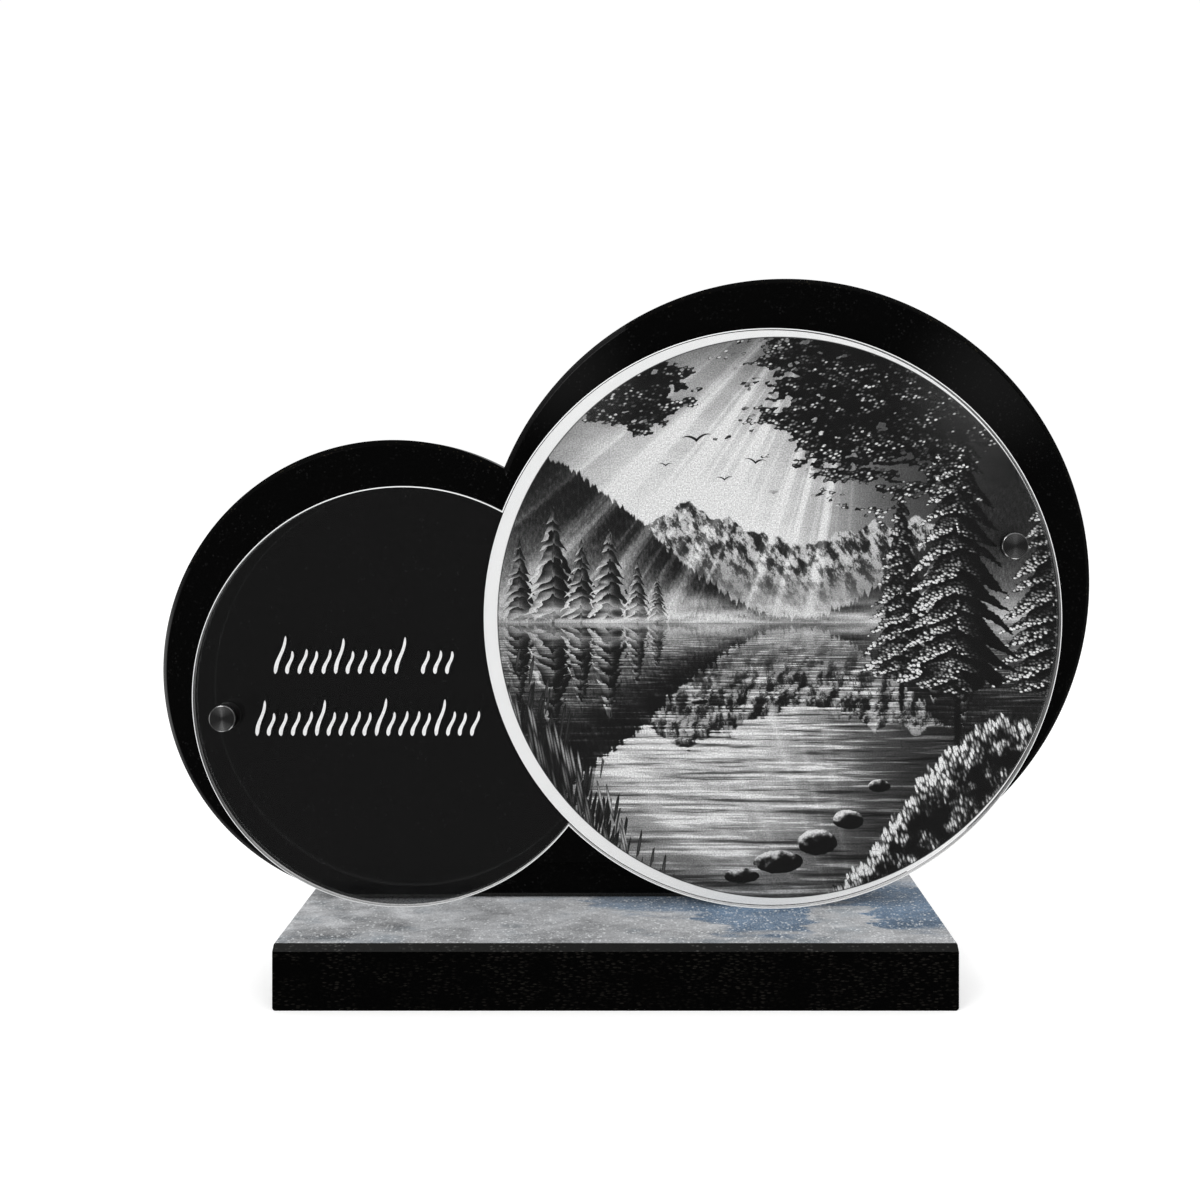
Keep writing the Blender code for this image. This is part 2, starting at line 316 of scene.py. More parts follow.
def specks_group() -> bpy.types.NodeTree:
    """Mineral specks: small round grains, of which only a share shows."""
    inputs = {"place": (0.0, 0.0, 0.0), "size": 0.001, "share": 0.2, "spread": 0.35}
    graph, given, result = new_group("mineral specks", inputs, ("mask", "shade"))
    cells = graph.add("ShaderNodeTexVoronoi", {"Vector": given["place"], "Scale": 1 / given["size"]})
    shade, pick, _ = graph.split(cells.outputs["Color"])
    near = graph.field(cells.outputs["Distance"]).rise(given["spread"], given["spread"] * 0.4)
    shown = graph.math("LESS_THAN", pick, given["share"])
    return close_group(graph, result, mask=near * shown, shade=shade)


def grain_group() -> bpy.types.NodeTree:
    """Fine grain: a multiplier round 1 that varies from spot to spot."""
    inputs = {"place": (0.0, 0.0, 0.0), "size": 0.0005, "strength": 0.1}
    graph, given, result = new_group("fine grain", inputs, ("value",))
    fine = graph.noise(given["place"], 1 / given["size"], 1.0)
    return close_group(graph, result, value=1 + (fine - 0.5) * 4 * given["strength"])


SPECKS = specks_group()
GRAIN = grain_group()


class Surface:
    """A new material with its shader, a graph and Object coordinates."""

    def __init__(self, name: str, **plain: Any) -> None:
        """Starts the material.

        Args:
            name: The material's name.
            **plain: Values of the shader's own sockets, with _ for a space.
        """
        self.material = bpy.data.materials.new(name)
        self.material.use_nodes = True
        self.graph = Graph(self.material.node_tree)
        self.shader = self.material.node_tree.nodes["Principled BSDF"]
        for socket, value in plain.items():
            self.shader.inputs[socket.replace("_", " ")].default_value = value
        self.place = self.graph.add("ShaderNodeTexCoord").outputs["Object"]

    def feed(self, **sources: Any) -> bpy.types.Material:
        """Links into the shader, and finishes the material.

        Args:
            **sources: Fields or sockets by the names of the shader's own sockets, with _ for a space.

        Returns:
            The material.
        """
        for socket, value in sources.items():
            self.graph.feed(self.shader.inputs[socket.replace("_", " ")], value)
        return self.material

    def grain(self, size: float, strength: float) -> Field:
        """Fine grain round 1."""
        node = self.graph.use(GRAIN, {"place": self.place, "size": size, "strength": strength})
        return self.graph.field(node.outputs["value"])

    def specks(self, size: float, share: float, spread: float = 0.5, stretch: float = 1.0) -> tuple[Field, Field]:
        """Mineral specks.

        Args:
            size: How far apart the cells are that may hold a speck.
            share: The share of the cells that do.
            spread: The speck's size in its cell.
            stretch: How far the specks are drawn out along X.

        Returns:
            The specks' mask and their shade.
        """
        drawn = self.graph.add("ShaderNodeMapping", {"Vector": self.place, "Scale": (1 / stretch, 1.0, 1.0)})
        values = {"place": drawn.outputs[0], "size": size, "share": share, "spread": spread}
        node = self.graph.use(SPECKS, values)
        return self.graph.field(node.outputs["mask"]), self.graph.field(node.outputs["shade"])

    def bump(self, height: Field, distance: float, strength: float = 1.0) -> bpy.types.NodeSocket:
        """A normal bent by a height."""
        inputs = {"Height": height, "Distance": distance, "Strength": strength}
        return self.graph.add("ShaderNodeBump", inputs).outputs["Normal"]


@dataclass(frozen=True)
class BlackGranite:
    """Polished black granite with faint mineral specks."""

    name: str
    tone: Colour = (0.0006, 0.0006, 0.0006)
    speck_tone: Colour = (0.02, 0.017, 0.011)
    speck_size: float = 0.0012
    speck_share: float = 0.3
    speck_stretch: float = 1.0
    roughness: float = 0.06
    gloss: float = 1.27

    def make(self) -> bpy.types.Material:
        """The material."""
        stone = Surface(self.name, IOR=self.gloss)
        graph = stone.graph
        mask, shade = stone.specks(self.speck_size, self.speck_share, stretch=self.speck_stretch)
        cloud = graph.noise(stone.place, 90.0, 3.0).rise(0.30, 0.60)
        colour = graph.tint(mask * shade * cloud, (*self.tone, 1), (*self.speck_tone, 1))
        rough = self.roughness * stone.grain(0.0006, 0.25)
        return stone.feed(Base_Color=colour, Roughness=rough)


@dataclass(frozen=True)
class SkyReflectionTop:
    """The base's top, where the photograph shows a cloudy sky in the polish, here as colour."""

    grey: Colour = (0.37, 0.375, 0.385)
    cool: Colour = (0.25, 0.27, 0.29)
    blue: Colour = (0.110, 0.158, 0.224)
    speck: Colour = (0.84, 0.86, 0.87)
    speck_layers: tuple[Place, ...] = ((0.0013, 0.30, 0.80), (0.0008, 0.30, 0.45))
    mirrored: Colour = (0.003, 0.003, 0.003)
    mirrored_share: float = 0.85
    back_light: float = 1.35
    width: float = 0.3
    depth: float = 0.1
    cloud_edge: tuple[Point, ...] = (
        (0.0, 0.9), (0.43, 0.80), (0.47, 0.42), (0.62, 0.36), (0.68, 0.12), (0.78, 0.12), (0.825, 0.50),
        (0.885, 0.50), (0.91, 0.18), (1.0, 0.16),
    )

    def make(self) -> bpy.types.Material:
        """The material.

        Returns:
            The material: a painted reflection of grey clouds up to an edge that runs across the slab, and of blue
                sky
            behind it, lighter towards the back, with specks in both. Mirror-like reflections see it dark, so that
            the panel's polished foot stays black.
        """
        top = Surface("granite_top_sky", IOR=1.3)
        graph = top.graph
        x, y, _ = graph.split(top.place)
        # Painted reflection: the clouds, the blue sky and their streaks stand in for a sky mirrored in the polish.
        drift = graph.noise(graph.join(x, y * 2.2), 26.0, 5.0, 0.6)
        cool = drift.rise(0.50, 0.66)
        wisps = graph.noise(graph.join(x * 0.5, y * 2.2), 60.0, 6.0, 0.62) - 0.5
        edge = (x / self.width + 0.5 + wisps * 0.16).ramp(self.cloud_edge)
        depth = y / self.depth + 0.5
        sky = (depth - edge + wisps * 0.42).rise(-0.07, 0.07) * (depth + wisps * 0.5).rise(0.88, 0.60)
        sky = sky * x.rise(-0.05, 0.10, 0.58, 1.15)
        colour = graph.tint(cool, (*self.grey, 1), (*self.cool, 1))
        colour = graph.tint(sky, colour, (*self.blue, 1))
        streaks = graph.noise(graph.join(x, y * 2.4), 110.0, 5.0, 0.7).rise(0.32, 0.68, 0.84, 1.16)
        billows = graph.noise(graph.join(x * 0.8, y * 1.5), 30.0, 4.0, 0.6) - 0.5
        streaks = streaks * (billows * x.rise(-0.15, 0.05, 3.8, 1.5) + 1.06)
        # Painted light: lighter towards the back, by up to back_light.
        lift = streaks * top.grain(0.0009, 0.07) * depth.rise(0.0, 0.55, 1.0, self.back_light)
        colour = graph.add("ShaderNodeVectorMath", {0: colour, "Scale": lift}, operation="SCALE").outputs[0]
        for size, share, strength in self.speck_layers:
            mask, shade = top.specks(size, share, 0.62)
            colour = graph.tint(mask * shade.rise(0.0, 0.8) * strength, colour, (*self.speck, 1))
        glossy = graph.field(graph.add("ShaderNodeLightPath").outputs["Is Glossy Ray"])
        colour = graph.tint(glossy * self.mirrored_share, colour, (*self.mirrored, 1))
        return top.feed(Base_Color=colour, Roughness=0.28 * top.grain(0.0015, 0.2))


@dataclass(frozen=True)
class BareAcrylic:
    """Clear polished acrylic."""

    name: str = "acrylic_clear"

    def make(self) -> bpy.types.Material:
        """The material: plain values, as the export needs for see-through ones."""
        clear = Surface(
            self.name, Base_Color=(0.985, 0.99, 0.99, 1), Roughness=0.0, IOR=1.49, Transmission_Weight=1.0
        )
        return clear.material


@dataclass(frozen=True)
class CutEdge:
    """A sawn or flame-polished edge of the sheet, milky against the clear faces; its glow paints a highlight."""

    name: str
    tone: float
    roughness: float
    clearness: float
    glow: float = 0.0
    low_lift: float = 1.0

    def make(self) -> bpy.types.Material:
        """The material, with painted light: lighter by the lift low down, near the base."""
        edge = Surface(self.name, IOR=1.49, Roughness=self.roughness, Transmission_Weight=self.clearness)
        if self.glow:
            edge.shader.inputs["Emission Strength"].default_value = self.glow
            edge.shader.inputs["Emission Color"].default_value = (0.98, 1.0, 1.0, 1)
        _, _, z = edge.graph.split(edge.place)
        tone = self.tone * edge.grain(0.0012, 0.06) * z.rise(0.040, 0.085, self.low_lift, 1.0)
        return edge.feed(Base_Color=tone)


@dataclass(frozen=True)
class WhiteStroke:
    """The white, slightly mottled floor of the engraving."""

    tone: float = 0.60

    def make(self) -> bpy.types.Material:
        """The material."""
        white = Surface("engraving_white", Roughness=0.55, IOR=1.4)
        patchy = white.graph.noise(white.place, 900.0, 3.0).rise(0.35, 0.62, 0.86, 1.0)
        fine = white.grain(0.0004, 0.08)
        return white.feed(Base_Color=self.tone * patchy * fine, Normal=white.bump(patchy, 0.00006, 0.6))


@dataclass(frozen=True)
class BlackAnodised:
    """Black anodised aluminium, turned, with fine rings that smear the light across them, and a painted sheen."""

    name: str
    tone: float
    roughness: float
    spun: float
    centre: Point

    def make(self) -> bpy.types.Material:
        """The material, whose highlights spread across the rings, with a painted highlight lighter above and below
        the middle.
        """
        metal = Surface(self.name, Metallic=1.0, Anisotropic=self.spun, Anisotropic_Rotation=0.25)
        graph = metal.graph
        x, _, z = graph.split(metal.place)
        away = distance(x - self.centre[0], z - self.centre[1])
        rings = graph.noise(graph.join(away), 6500.0, 2.0)
        # Painted highlight: the colour is lighter above and below the middle and darker to its sides, where it is
        # spun.
        upright = abs(z - self.centre[1]) / (away + 0.0008)
        painted_sheen = graph.blend(self.spun, 1.0, upright.rise(0.25, 1.0, 0.45, 1.35))
        tone = self.tone * rings.rise(0.3, 0.7, 0.8, 1.2) * painted_sheen
        tangent = graph.add("ShaderNodeTangent", direction_type="RADIAL", axis="Y").outputs[0]
        return metal.feed(
            Base_Color=tone, Roughness=self.roughness * rings.rise(0.3, 0.7, 0.85, 1.15),
            Normal=metal.bump(rings, 0.00001, 0.4), Tangent=tangent,
        )


@dataclass(frozen=True)
class FilmWhite:
    """The bare white of the printed film."""

    tone: float = 0.575

    def ink(self, film: Surface) -> Field:
        """The white, with a fine grain."""
        return self.tone * film.grain(0.0007, 0.02)

    def make(self) -> bpy.types.Material:
        """The material."""
        film = Surface("film_white", Roughness=0.4)
        return film.feed(Base_Color=self.ink(film))


class Leaf(NamedTuple):
    """A kind of leaf cell: its size, how far it leans, and the seed that sets it apart from other kinds."""

    length: float
    width: float
    lean: float
    seed: float


class Pine(NamedTuple):
    """A pine: its foot, its size, how many whorls of boughs it has, and the bare share of its trunk."""

    foot_across: float
    foot_up: float
    height: float
    breadth: float
    whorls: float = 9.0
    bare: float = 0.02


class Bird(NamedTuple):
    """A far bird: its place, the reach of one wing, and its tilt."""

    at_across: float
    at_up: float
    wing: float
    tilt: float


class Boulder(NamedTuple):
    """A boulder: its middle, and half its width and height."""

    at_across: float
    at_up: float
    half_width: float
    half_height: float


class FarView(NamedTuple):
    """The view beyond the water: how strong its beams of light are."""

    beams: float = 1.0


def shape_group(name: str, row: type, outputs: Sequence[str]) -> tuple[Graph, dict, bpy.types.Node]:
    """Starts the node group of a shape in the picture.

    Args:
        name: The group's name.
        row: The shape's class, whose fields become inputs after the spot's place across and up.
        outputs: Names of the outputs.

    Returns:
        What new_group returns.
    """
    return new_group(name, dict.fromkeys(("across", "up", *row._fields), 1.0), outputs)


def leaf_group() -> bpy.types.NodeTree:
    """Leaf cells: every spot gets the middle of its leaf, a shade and how near the leaf's middle it is."""
    graph, given, result = shape_group("leaf cells", Leaf, ("across", "up", "shade", "body"))
    leaning = given["across"] + given["up"] * given["lean"]
    plane = graph.join(leaning / given["width"] + given["seed"], given["up"] / given["length"])
    cells = graph.add(
        "ShaderNodeTexVoronoi", {"Vector": plane, "Scale": 1.0}, voronoi_dimensions="2D", feature="F1"
    )
    middle_x, middle_y, _ = graph.split(cells.outputs["Position"])
    shade, _, _ = graph.split(cells.outputs["Color"])
    up = middle_y * given["length"]
    across = (middle_x - given["seed"]) * given["width"] - up * given["lean"]
    body = graph.field(cells.outputs["Distance"]).rise(0.75, 0.1)
    return close_group(graph, result, across=across, up=up, shade=shade, body=body)


def pine_group() -> bpy.types.NodeTree:
    """A pine: its mask and its light, with whorls of drooping boughs on a straight trunk."""
    graph, given, result = shape_group("pine", Pine, ("mask", "light"))
    aside = given["across"] - given["foot_across"]
    climb = (given["up"] - given["foot_up"]) / given["height"]
    reach = abs(aside) / given["breadth"]
    wobble = graph.noise(graph.join(given["foot_across"] * 37, climb * 9, aside.rise(-0.01, 0.01)), 1.0)
    saw = graph.math("FRACT", climb * given["whorls"] + reach * 1.6 + wobble * 2.2)
    crown = climb.rise(given["bare"], given["bare"] + 0.05) * (1 - climb).most(0.0) ** 0.85
    half = crown * (1.12 - saw * 0.62) * (0.72 + wobble * 0.5)
    needles = (half - reach).rise(-0.01, 0.02)
    trunk = (0.05 - reach).rise(-0.01, 0.02) * climb.rise(-0.01, 0.0) * climb.rise(0.9, 0.8)
    lit = (0.55 - aside / given["breadth"]).rise(0.0, 1.1) * (1 - saw) ** 1.3
    return close_group(graph, result, mask=needles.most(trunk), light=lit * needles)


def bird_group() -> bpy.types.NodeTree:
    """A far bird: two bowed strokes that meet in a shallow V."""
    graph, given, result = shape_group("far bird", Bird, ("mask",))
    aside = (given["across"] - given["at_across"]) / given["wing"]
    up = (given["up"] - given["at_up"]) / given["wing"] - aside * given["tilt"]
    out = abs(aside)
    bow = out * 0.95 - out * out * 0.7
    width = (1 - out).most(0.0) * 0.11
    return close_group(graph, result, mask=(width - abs(up - bow)).rise(-0.02, 0.02) * out.rise(1.0, 0.97))


def boulder_group() -> bpy.types.NodeTree:
    """A boulder at the water's edge: its mask and its light from above."""
    graph, given, result = shape_group("boulder", Boulder, ("mask", "light"))
    aside = (given["across"] - given["at_across"]) / given["half_width"]
    up = (given["up"] - given["at_up"]) / given["half_height"]
    rough = graph.noise(graph.join(given["across"], given["up"]), 30.0, 3.0) - 0.5
    out = distance(aside, up) + rough * 0.35
    light = (up * 0.9 - aside * 0.4 + rough * 2.2).rise(-0.2, 0.85)
    return close_group(graph, result, mask=out.rise(1.04, 0.98), light=light)


class Painting:
    """A picture in the making: the spot that is painted, and its tone so far.

    Places are in radii of the picture's circle, from its middle. Tones are as the eye sees them, 0 to 1.
    """

    def __init__(self, shapes: dict[type, bpy.types.NodeTree], graph: Graph, across: Field, up: Field) -> None:
        """Starts the painting.

        Args:
            shapes: The node groups of the shapes by their classes.
            graph: The graph of the material or the group that is painted.
            across: The spot's place across.
            up: The spot's place up.
        """
        self.shapes = shapes
        self.graph = graph
        self.across = across
        self.up = up
        self.tone: Number = 0.0

    def lay(self, mask: Field, tone: Number) -> None:
        """Lays a tone over what is there, where the mask is."""
        self.tone = self.graph.blend(mask, self.tone, tone)

    def noise(
        self, across: Number, up: Number, scale: float, detail: float = 2.0, roughness: float = 0.5
    ) -> Field:
        """Noise at a place in the picture's plane."""
        return self.graph.noise(self.graph.join(across, up), scale, detail, roughness)

    def place(
        self, shape: Sequence[Number], across: Number | None = None, up: Number | None = None
    ) -> list[Field]:
        """Places a shape.

        Args:
            shape: The shape, a row of one of the classes above.
            across: The place across at which it is read, where that isn't the spot's.
            up: The place up at which it is read, where that isn't the spot's.

        Returns:
            The outputs of the shape's group, in their order.
        """
        spot = (self.across if across is None else across, self.up if up is None else up)
        node = self.graph.use(self.shapes[type(shape)], dict(enumerate((*spot, *shape))))
        return [self.graph.field(output) for output in node.outputs]


class FarPainting(Painting):
    """The view beyond the water: sky, beams of light, snowy peaks, wooded hills and far pines."""

    def sky(self) -> None:
        """Paints the clouds, with a glow on the left that fades to the right."""
        glow = distance((self.across + 0.20) * 0.85, self.up - 0.26)
        clouds = self.noise(self.across, self.up * 2.4, 2.4, 5.0, 0.6) - 0.5
        self.tone = (glow.rise(0.02, 1.25, 0.94, 0.36) + clouds * 0.42) * self.across.rise(-0.15, 0.62, 1.0, 0.47)

    def peaks(self) -> None:
        """Paints the snowy peaks."""
        crest = 0.04 + self.noise(self.across + 3.3, 0.0, 1.9, 5.0, 0.55) * 0.62
        rock = self.noise(self.across * 1.3 + self.up * 0.8, self.up * 0.6 - self.across * 0.5, 17.0, 6.0, 0.7)
        climb = self.up / crest
        snow = rock.rise(0.44, 0.56) * climb.rise(0.25, 0.8)
        tone = climb.rise(0.0, 0.8, 0.72, 0.34) + snow * 0.42 - rock.rise(0.56, 0.40) * 0.16
        self.lay((crest - self.up).rise(-0.004, 0.004), tone)

    def hill(self, crest: Field, dark_from: float, foot: float, dark: float, wood: Field) -> None:
        """Paints a wooded hill.

        Args:
            crest: Its height.
            dark_from: The share of its height from which it is darkest.
            foot: Its tone at the foot, in the mist.
            dark: Its darkest tone.
            wood: What the wood adds to the tone.
        """
        climb = self.up / (crest + 0.02)
        self.lay((crest - self.up).rise(-0.004, 0.006), climb.rise(0.0, dark_from, foot, dark) + wood)

    def beams(self, strength: Number) -> None:
        """Paints the beams of light, which spread down and left from a spot above the picture.

        Args:
            strength: How strong they are.
        """
        turn = self.graph.math("ARCTAN2", self.across - 0.34, 1.42 - self.up)
        streaks = self.noise(turn, 0.0, 15.0, 3.0, 0.6).rise(0.46, 0.62)
        sector = turn.rise(-0.98, -0.80) * turn.rise(-0.02, -0.22) * self.up.rise(1.05, 0.5, 0.55, 1.0)
        self.tone = self.tone + streaks * sector * self.up.rise(-0.05, 0.16) * 0.31 * strength

    def far_pines(self) -> None:
        """Paints the pines on the far shore."""
        for foot, height in ((-0.92, 0.30), (-0.80, 0.42), (-0.70, 0.30), (-0.60, 0.34), (-0.50, 0.22),
                             (-0.43, 0.17), (0.47, 0.20), (0.56, 0.30), (0.66, 0.36)):
            mask, light = self.place(Pine(foot, 0.0, height, height * 0.26))
            self.lay(mask, light * 0.95 + 0.07)

    def mist(self) -> None:
        """Paints the mist on the far shore."""
        patches = self.noise(self.across * 0.8, self.up * 6, 5.0, 3.0).rise(0.25, 0.7)
        self.lay(self.up.rise(0.14, 0.0) * patches * 0.85, 0.93)

    def paint(self, beams: Number) -> Field:
        """Paints it all.

        Args:
            beams: How strong the beams of light are.

        Returns:
            The tone.
        """
        spikes = self.noise(self.across + 1.7, 0.0, 70.0) * 0.11 - 0.07
        wood = self.noise(self.across * 2.4, self.up, 46.0, 4.0, 0.7) - 0.5
        left = self.across.rise(0.06, -0.95, 0.0, 0.60) + self.noise(self.across, 0.0, 5.0) * 0.06 + spikes
        right = self.across.rise(0.10, 0.95, 0.0, 0.52) + self.noise(self.across + 7, 0.0, 6.0) * 0.07 + spikes
        self.sky()
        self.peaks()
        self.hill(left, dark_from=0.8, foot=0.70, dark=0.16, wood=wood * 0.62)
        self.beams(beams)
        self.hill(right, dark_from=0.7, foot=0.50, dark=0.24, wood=wood * 0.40)
        self.far_pines()
        self.mist()
        return self.tone


class NearPainting(Painting):
    """The whole picture on one side of the horizon, from the far view to what stands in front."""

    def shore_pines(self) -> None:
        """Paints the three tall pines on the right."""
        for seed, pine in (
            (3.0, Pine(0.98, -0.42, height=1.05, breadth=0.27, whorls=17.0, bare=0.12)),
            (5.0, Pine(0.44, -0.33, height=0.80, breadth=0.17, whorls=15.0, bare=0.12)),
            (9.0, Pine(0.64, -0.46, height=1.42, breadth=0.25, whorls=20.0, bare=0.12)),
        ):
            at_x, at_y, shade, body = self.place(Leaf(length=0.009, width=0.013, lean=0.35, seed=seed))
            mask, light = self.place(pine, at_x * 0.6 + self.across * 0.4, at_y * 0.6 + self.up * 0.4)
            self.lay(mask, 0.04 + light * (0.25 + shade * 0.75) * body * 2.4)

    def boughs(self) -> None:
        """Paints the leafy boughs that hang in from the upper left and the upper right."""
        at_x, at_y, shade, body = self.place(Leaf(length=0.009, width=0.014, lean=-0.5, seed=60.0))
        left = distance(at_x + 0.52, (at_y - 0.82) * 1.3)
        right = distance(at_x - 0.37, (at_y - 0.84) * 1.15)
        clumps = self.noise(at_x + at_y * 0.4, at_y * 1.9, 6.5, 5.0, 0.72)
        sparse = left.least(right * 0.46).rise(0.05, 0.42, 0.38, 0.80)
        mask = (clumps + shade * 0.04 - sparse).rise(-0.004, 0.006)
        self.lay(mask, 0.03 + shade ** 2 * body * 1.50 * clumps.rise(0.4, 0.65))

    def birds(self) -> None:
        """Paints the far birds."""
        for bird in (Bird(-0.29, 0.63, 0.055, 0.12), Bird(-0.08, 0.55, 0.040, -0.10),
                     Bird(-0.19, 0.49, 0.030, 0.05), Bird(-0.40, 0.54, 0.026, 0.0)):
            self.lay(self.place(bird)[0], 0.10)

    def water(self, horizon: float) -> None:
        """Paints the lake: the far view upside down, broken up by ripples.

        Args:
            horizon: The horizon's place up.
        """
        down = (horizon - self.up).most(0.0)
        wave_across = self.across / (down + 0.10)
        wave_down = self.graph.math("LOGARITHM", down + 0.035, math.e)
        slow = self.noise(wave_across * 0.55, wave_down * 9, 1.0, 3.0) - 0.5
        fine = self.noise(wave_across * 1.5, wave_down * 36, 1.0, 3.0, 0.65) - 0.5
        ripple = slow * 0.10 + fine * 0.14
        up = down * 0.95 + ripple * (0.15 + down * 0.6)
        lake = self.place(FarView(beams=0.25), self.across + ripple * 0.12, up)[0] * 0.90 - 0.06
        lift = fine.rise(0.02, 0.14) * 0.62 * (lake + 0.12) - fine.rise(-0.02, -0.15) * 0.50 * lake.most(0.15)
        self.tone = lake + lift * down.rise(0.0, 0.12)

    def bank(self) -> None:
        """Paints the grassy bank in the lower right."""
        at_x, at_y, shade, body = self.place(Leaf(length=0.025, width=0.009, lean=0.25, seed=21.0))
        edge = at_x.rise(-0.02, 0.80, -1.12, -0.36) + (self.noise(at_x, 0.0, 7.0, 3.0) - 0.5) * 0.16
        lit = (edge - at_y).rise(0.13, 0.0) * at_x.rise(1.0, 0.2, 0.55, 1.0)
        clump = self.noise(self.across, self.up, 13.0, 3.0).rise(0.40, 0.62)
        grass = 0.03 + (lit * 2.1 + clump * 1.35) * (0.15 + shade * 0.85) * (0.25 + body * 0.75)
        self.lay((edge - at_y).rise(-0.002, 0.004), grass)

    def boulders(self) -> None:
        """Paints the boulders along the bank's foot, and one out in the lake."""
        for boulder in (Boulder(0.00, -0.87, 0.085, 0.040), Boulder(0.14, -0.80, 0.070, 0.045),
                        Boulder(-0.13, -0.92, 0.060, 0.026), Boulder(0.25, -0.72, 0.055, 0.034),
                        Boulder(0.36, -0.60, 0.040, 0.022), Boulder(-0.28, -0.30, 0.030, 0.010)):
            mask, light = self.place(boulder)
            self.lay(mask, 0.03 + light ** 1.5 * 0.88)

    def reeds(self) -> None:
        """Paints two rows of reeds in the lower left."""
        for leaf, top, bright in ((Leaf(length=0.10, width=0.011, lean=-0.16, seed=40.0), 0.00, 0.35),
                                  (Leaf(length=0.12, width=0.010, lean=0.20, seed=47.0), -0.12, 0.75)):
            at_x, at_y, shade, body = self.place(leaf)
            crest = at_x.rise(-0.22, -0.92, -1.15, -0.26) + top + (shade - 0.5) * 0.26
            blade = (crest - at_y).rise(-0.002, 0.006) * body.rise(0.18, 0.34)
            light = shade * bright * body * (crest - at_y).rise(0.45, 0.0, 0.25, 1.0)
            self.lay(blade, 0.05 + light)

    def paint(self, part: PicturePart, horizon: float) -> Field:
        """Paints one part of the picture.

        Args:
            part: The part above or below the horizon.
            horizon: The horizon's place up.

        Returns:
            The tone.
        """
        if part is PicturePart.SKY:
            self.tone = self.place(FarView(), up=self.up - horizon)[0]
            self.birds()
            self.shore_pines()
            self.boughs()
        else:
            self.water(horizon)
            self.shore_pines()
            self.bank()
            self.boulders()
            self.reeds()
        return self.tone


def picture_shapes() -> dict[type, bpy.types.NodeTree]:
    """The node groups of all shapes in the picture, by their classes."""
    shapes = {Leaf: leaf_group(), Pine: pine_group(), Bird: bird_group(), Boulder: boulder_group()}
    graph, given, result = shape_group("far view", FarView, ("tone",))
    view = FarPainting(shapes, graph, given["across"], given["up"])
    shapes[FarView] = close_group(graph, result, tone=view.paint(given["beams"]))
    return shapes


@dataclass(frozen=True)
class LakePicture:
    """A greyscale lake landscape inside a round white border, drawn from noise, ridges and leaf cells."""

    centre: Point = (0.0763, 0.1666)
    radius: float = 0.1329
    horizon: float = -0.02
    darkest: float = 0.02
    lightest: float = 0.93
    border_line: float = 0.015
    line_edge: Point = (0.9935, 0.9975)
    border_edge: Point = (0.9975, 1.0005)
    dimmed_rim: float = 0.86
    dots: float = 1500.0
    border: FilmWhite = FilmWhite()
    shapes: dict[type, bpy.types.NodeTree] = field(default_factory=picture_shapes)

    @property
    def horizon_z(self) -> float:
        """The horizon's height in metres."""
        return self.centre[1] + self.horizon * self.radius

    def make(self, part: PicturePart) -> bpy.types.Material:
        """The material of one part of the film's printed face.

        Args:
            part: The part above or below the horizon.

        Returns:
            The material, with the picture, a dark line round it, and the white border.
        """
        film = Surface(f"picture_{part.value}", Roughness=0.5, Specular_IOR_Level=0.2)
        graph = film.graph
        scale = 1 / self.radius
        shift = (-self.centre[0] * scale, 0.0, -self.centre[1] * scale)
        centred = graph.add(
            "ShaderNodeMapping", {"Vector": film.place, "Location": shift, "Scale": (scale, scale, scale)}
        )
        across, _, up = graph.split(centred.outputs[0])
        tone = NearPainting(self.shapes, graph, across, up).paint(part, self.horizon)
        tone = tone * 0.5 + tone.rise(0.0, 1.0, -0.02, 0.48)
        out = distance(across, up)
        tone = tone * out.rise(0.75, 1.0, 1.0, self.dimmed_rim)
        speck = graph.noise(film.place, self.dots) - 0.5
        tone = (tone.least(self.lightest) + speck * 0.75 * (tone + 0.10)).most(self.darkest)
        ink = graph.blend(out.rise(*self.line_edge), tone ** EYE_GAMMA * self.border.tone, self.border_line)
        return film.feed(Base_Color=graph.blend(out.rise(*self.border_edge), ink, self.border.ink(film)))


def finished(built: bmesh.types.BMesh, name: str) -> bpy.types.Mesh:
    """Turns an edited mesh into a plain one.

    Args:
        built: The edited mesh, which is freed.
        name: The plain mesh's name.

    Returns:
        The plain mesh.
    """
    mesh = bpy.data.meshes.new(name)
    built.to_mesh(mesh)
    built.free()
    return mesh


def new_object(name: str, mesh: bpy.types.Mesh, materials: Sequence[bpy.types.Material]) -> bpy.types.Object:
    """Puts an object at the origin.

    Args:
        name: The object's name.
        mesh: Its mesh, which holds its place.
        materials: Its materials, in the order of their slots.

    Returns:
        The object.
    """
    piece = bpy.data.objects.new(name, mesh)
    for material in materials:
        mesh.materials.append(material)
    bpy.context.scene.collection.objects.link(piece)
    return piece


def bake_modifiers(piece: bpy.types.Object) -> None:
    """Turns what an object's modifiers make into its plain mesh.

    Args:
        piece: The object.
    """
    depsgraph = bpy.context.evaluated_depsgraph_get()
    mesh = bpy.data.meshes.new_from_object(
        piece.evaluated_get(depsgraph), preserve_all_data_layers=True, depsgraph=depsgraph
    )
    mesh.name = piece.name
    piece.modifiers.clear()
    piece.data = mesh


def smooth(piece: bpy.types.Object, sharp_degrees: float) -> None:
    """Shades the piece smooth with its flat faces kept flat, and bakes its modifiers.

    Args:
        piece: The piece.
        sharp_degrees: The angle from which an edge stays sharp.
    """
    piece.data.shade_smooth()
    piece.data.set_sharp_from_angle(angle=math.radians(sharp_degrees))
    normals = piece.modifiers.new("flat faces kept", "WEIGHTED_NORMAL")
    normals.keep_sharp = True
    bake_modifiers(piece)


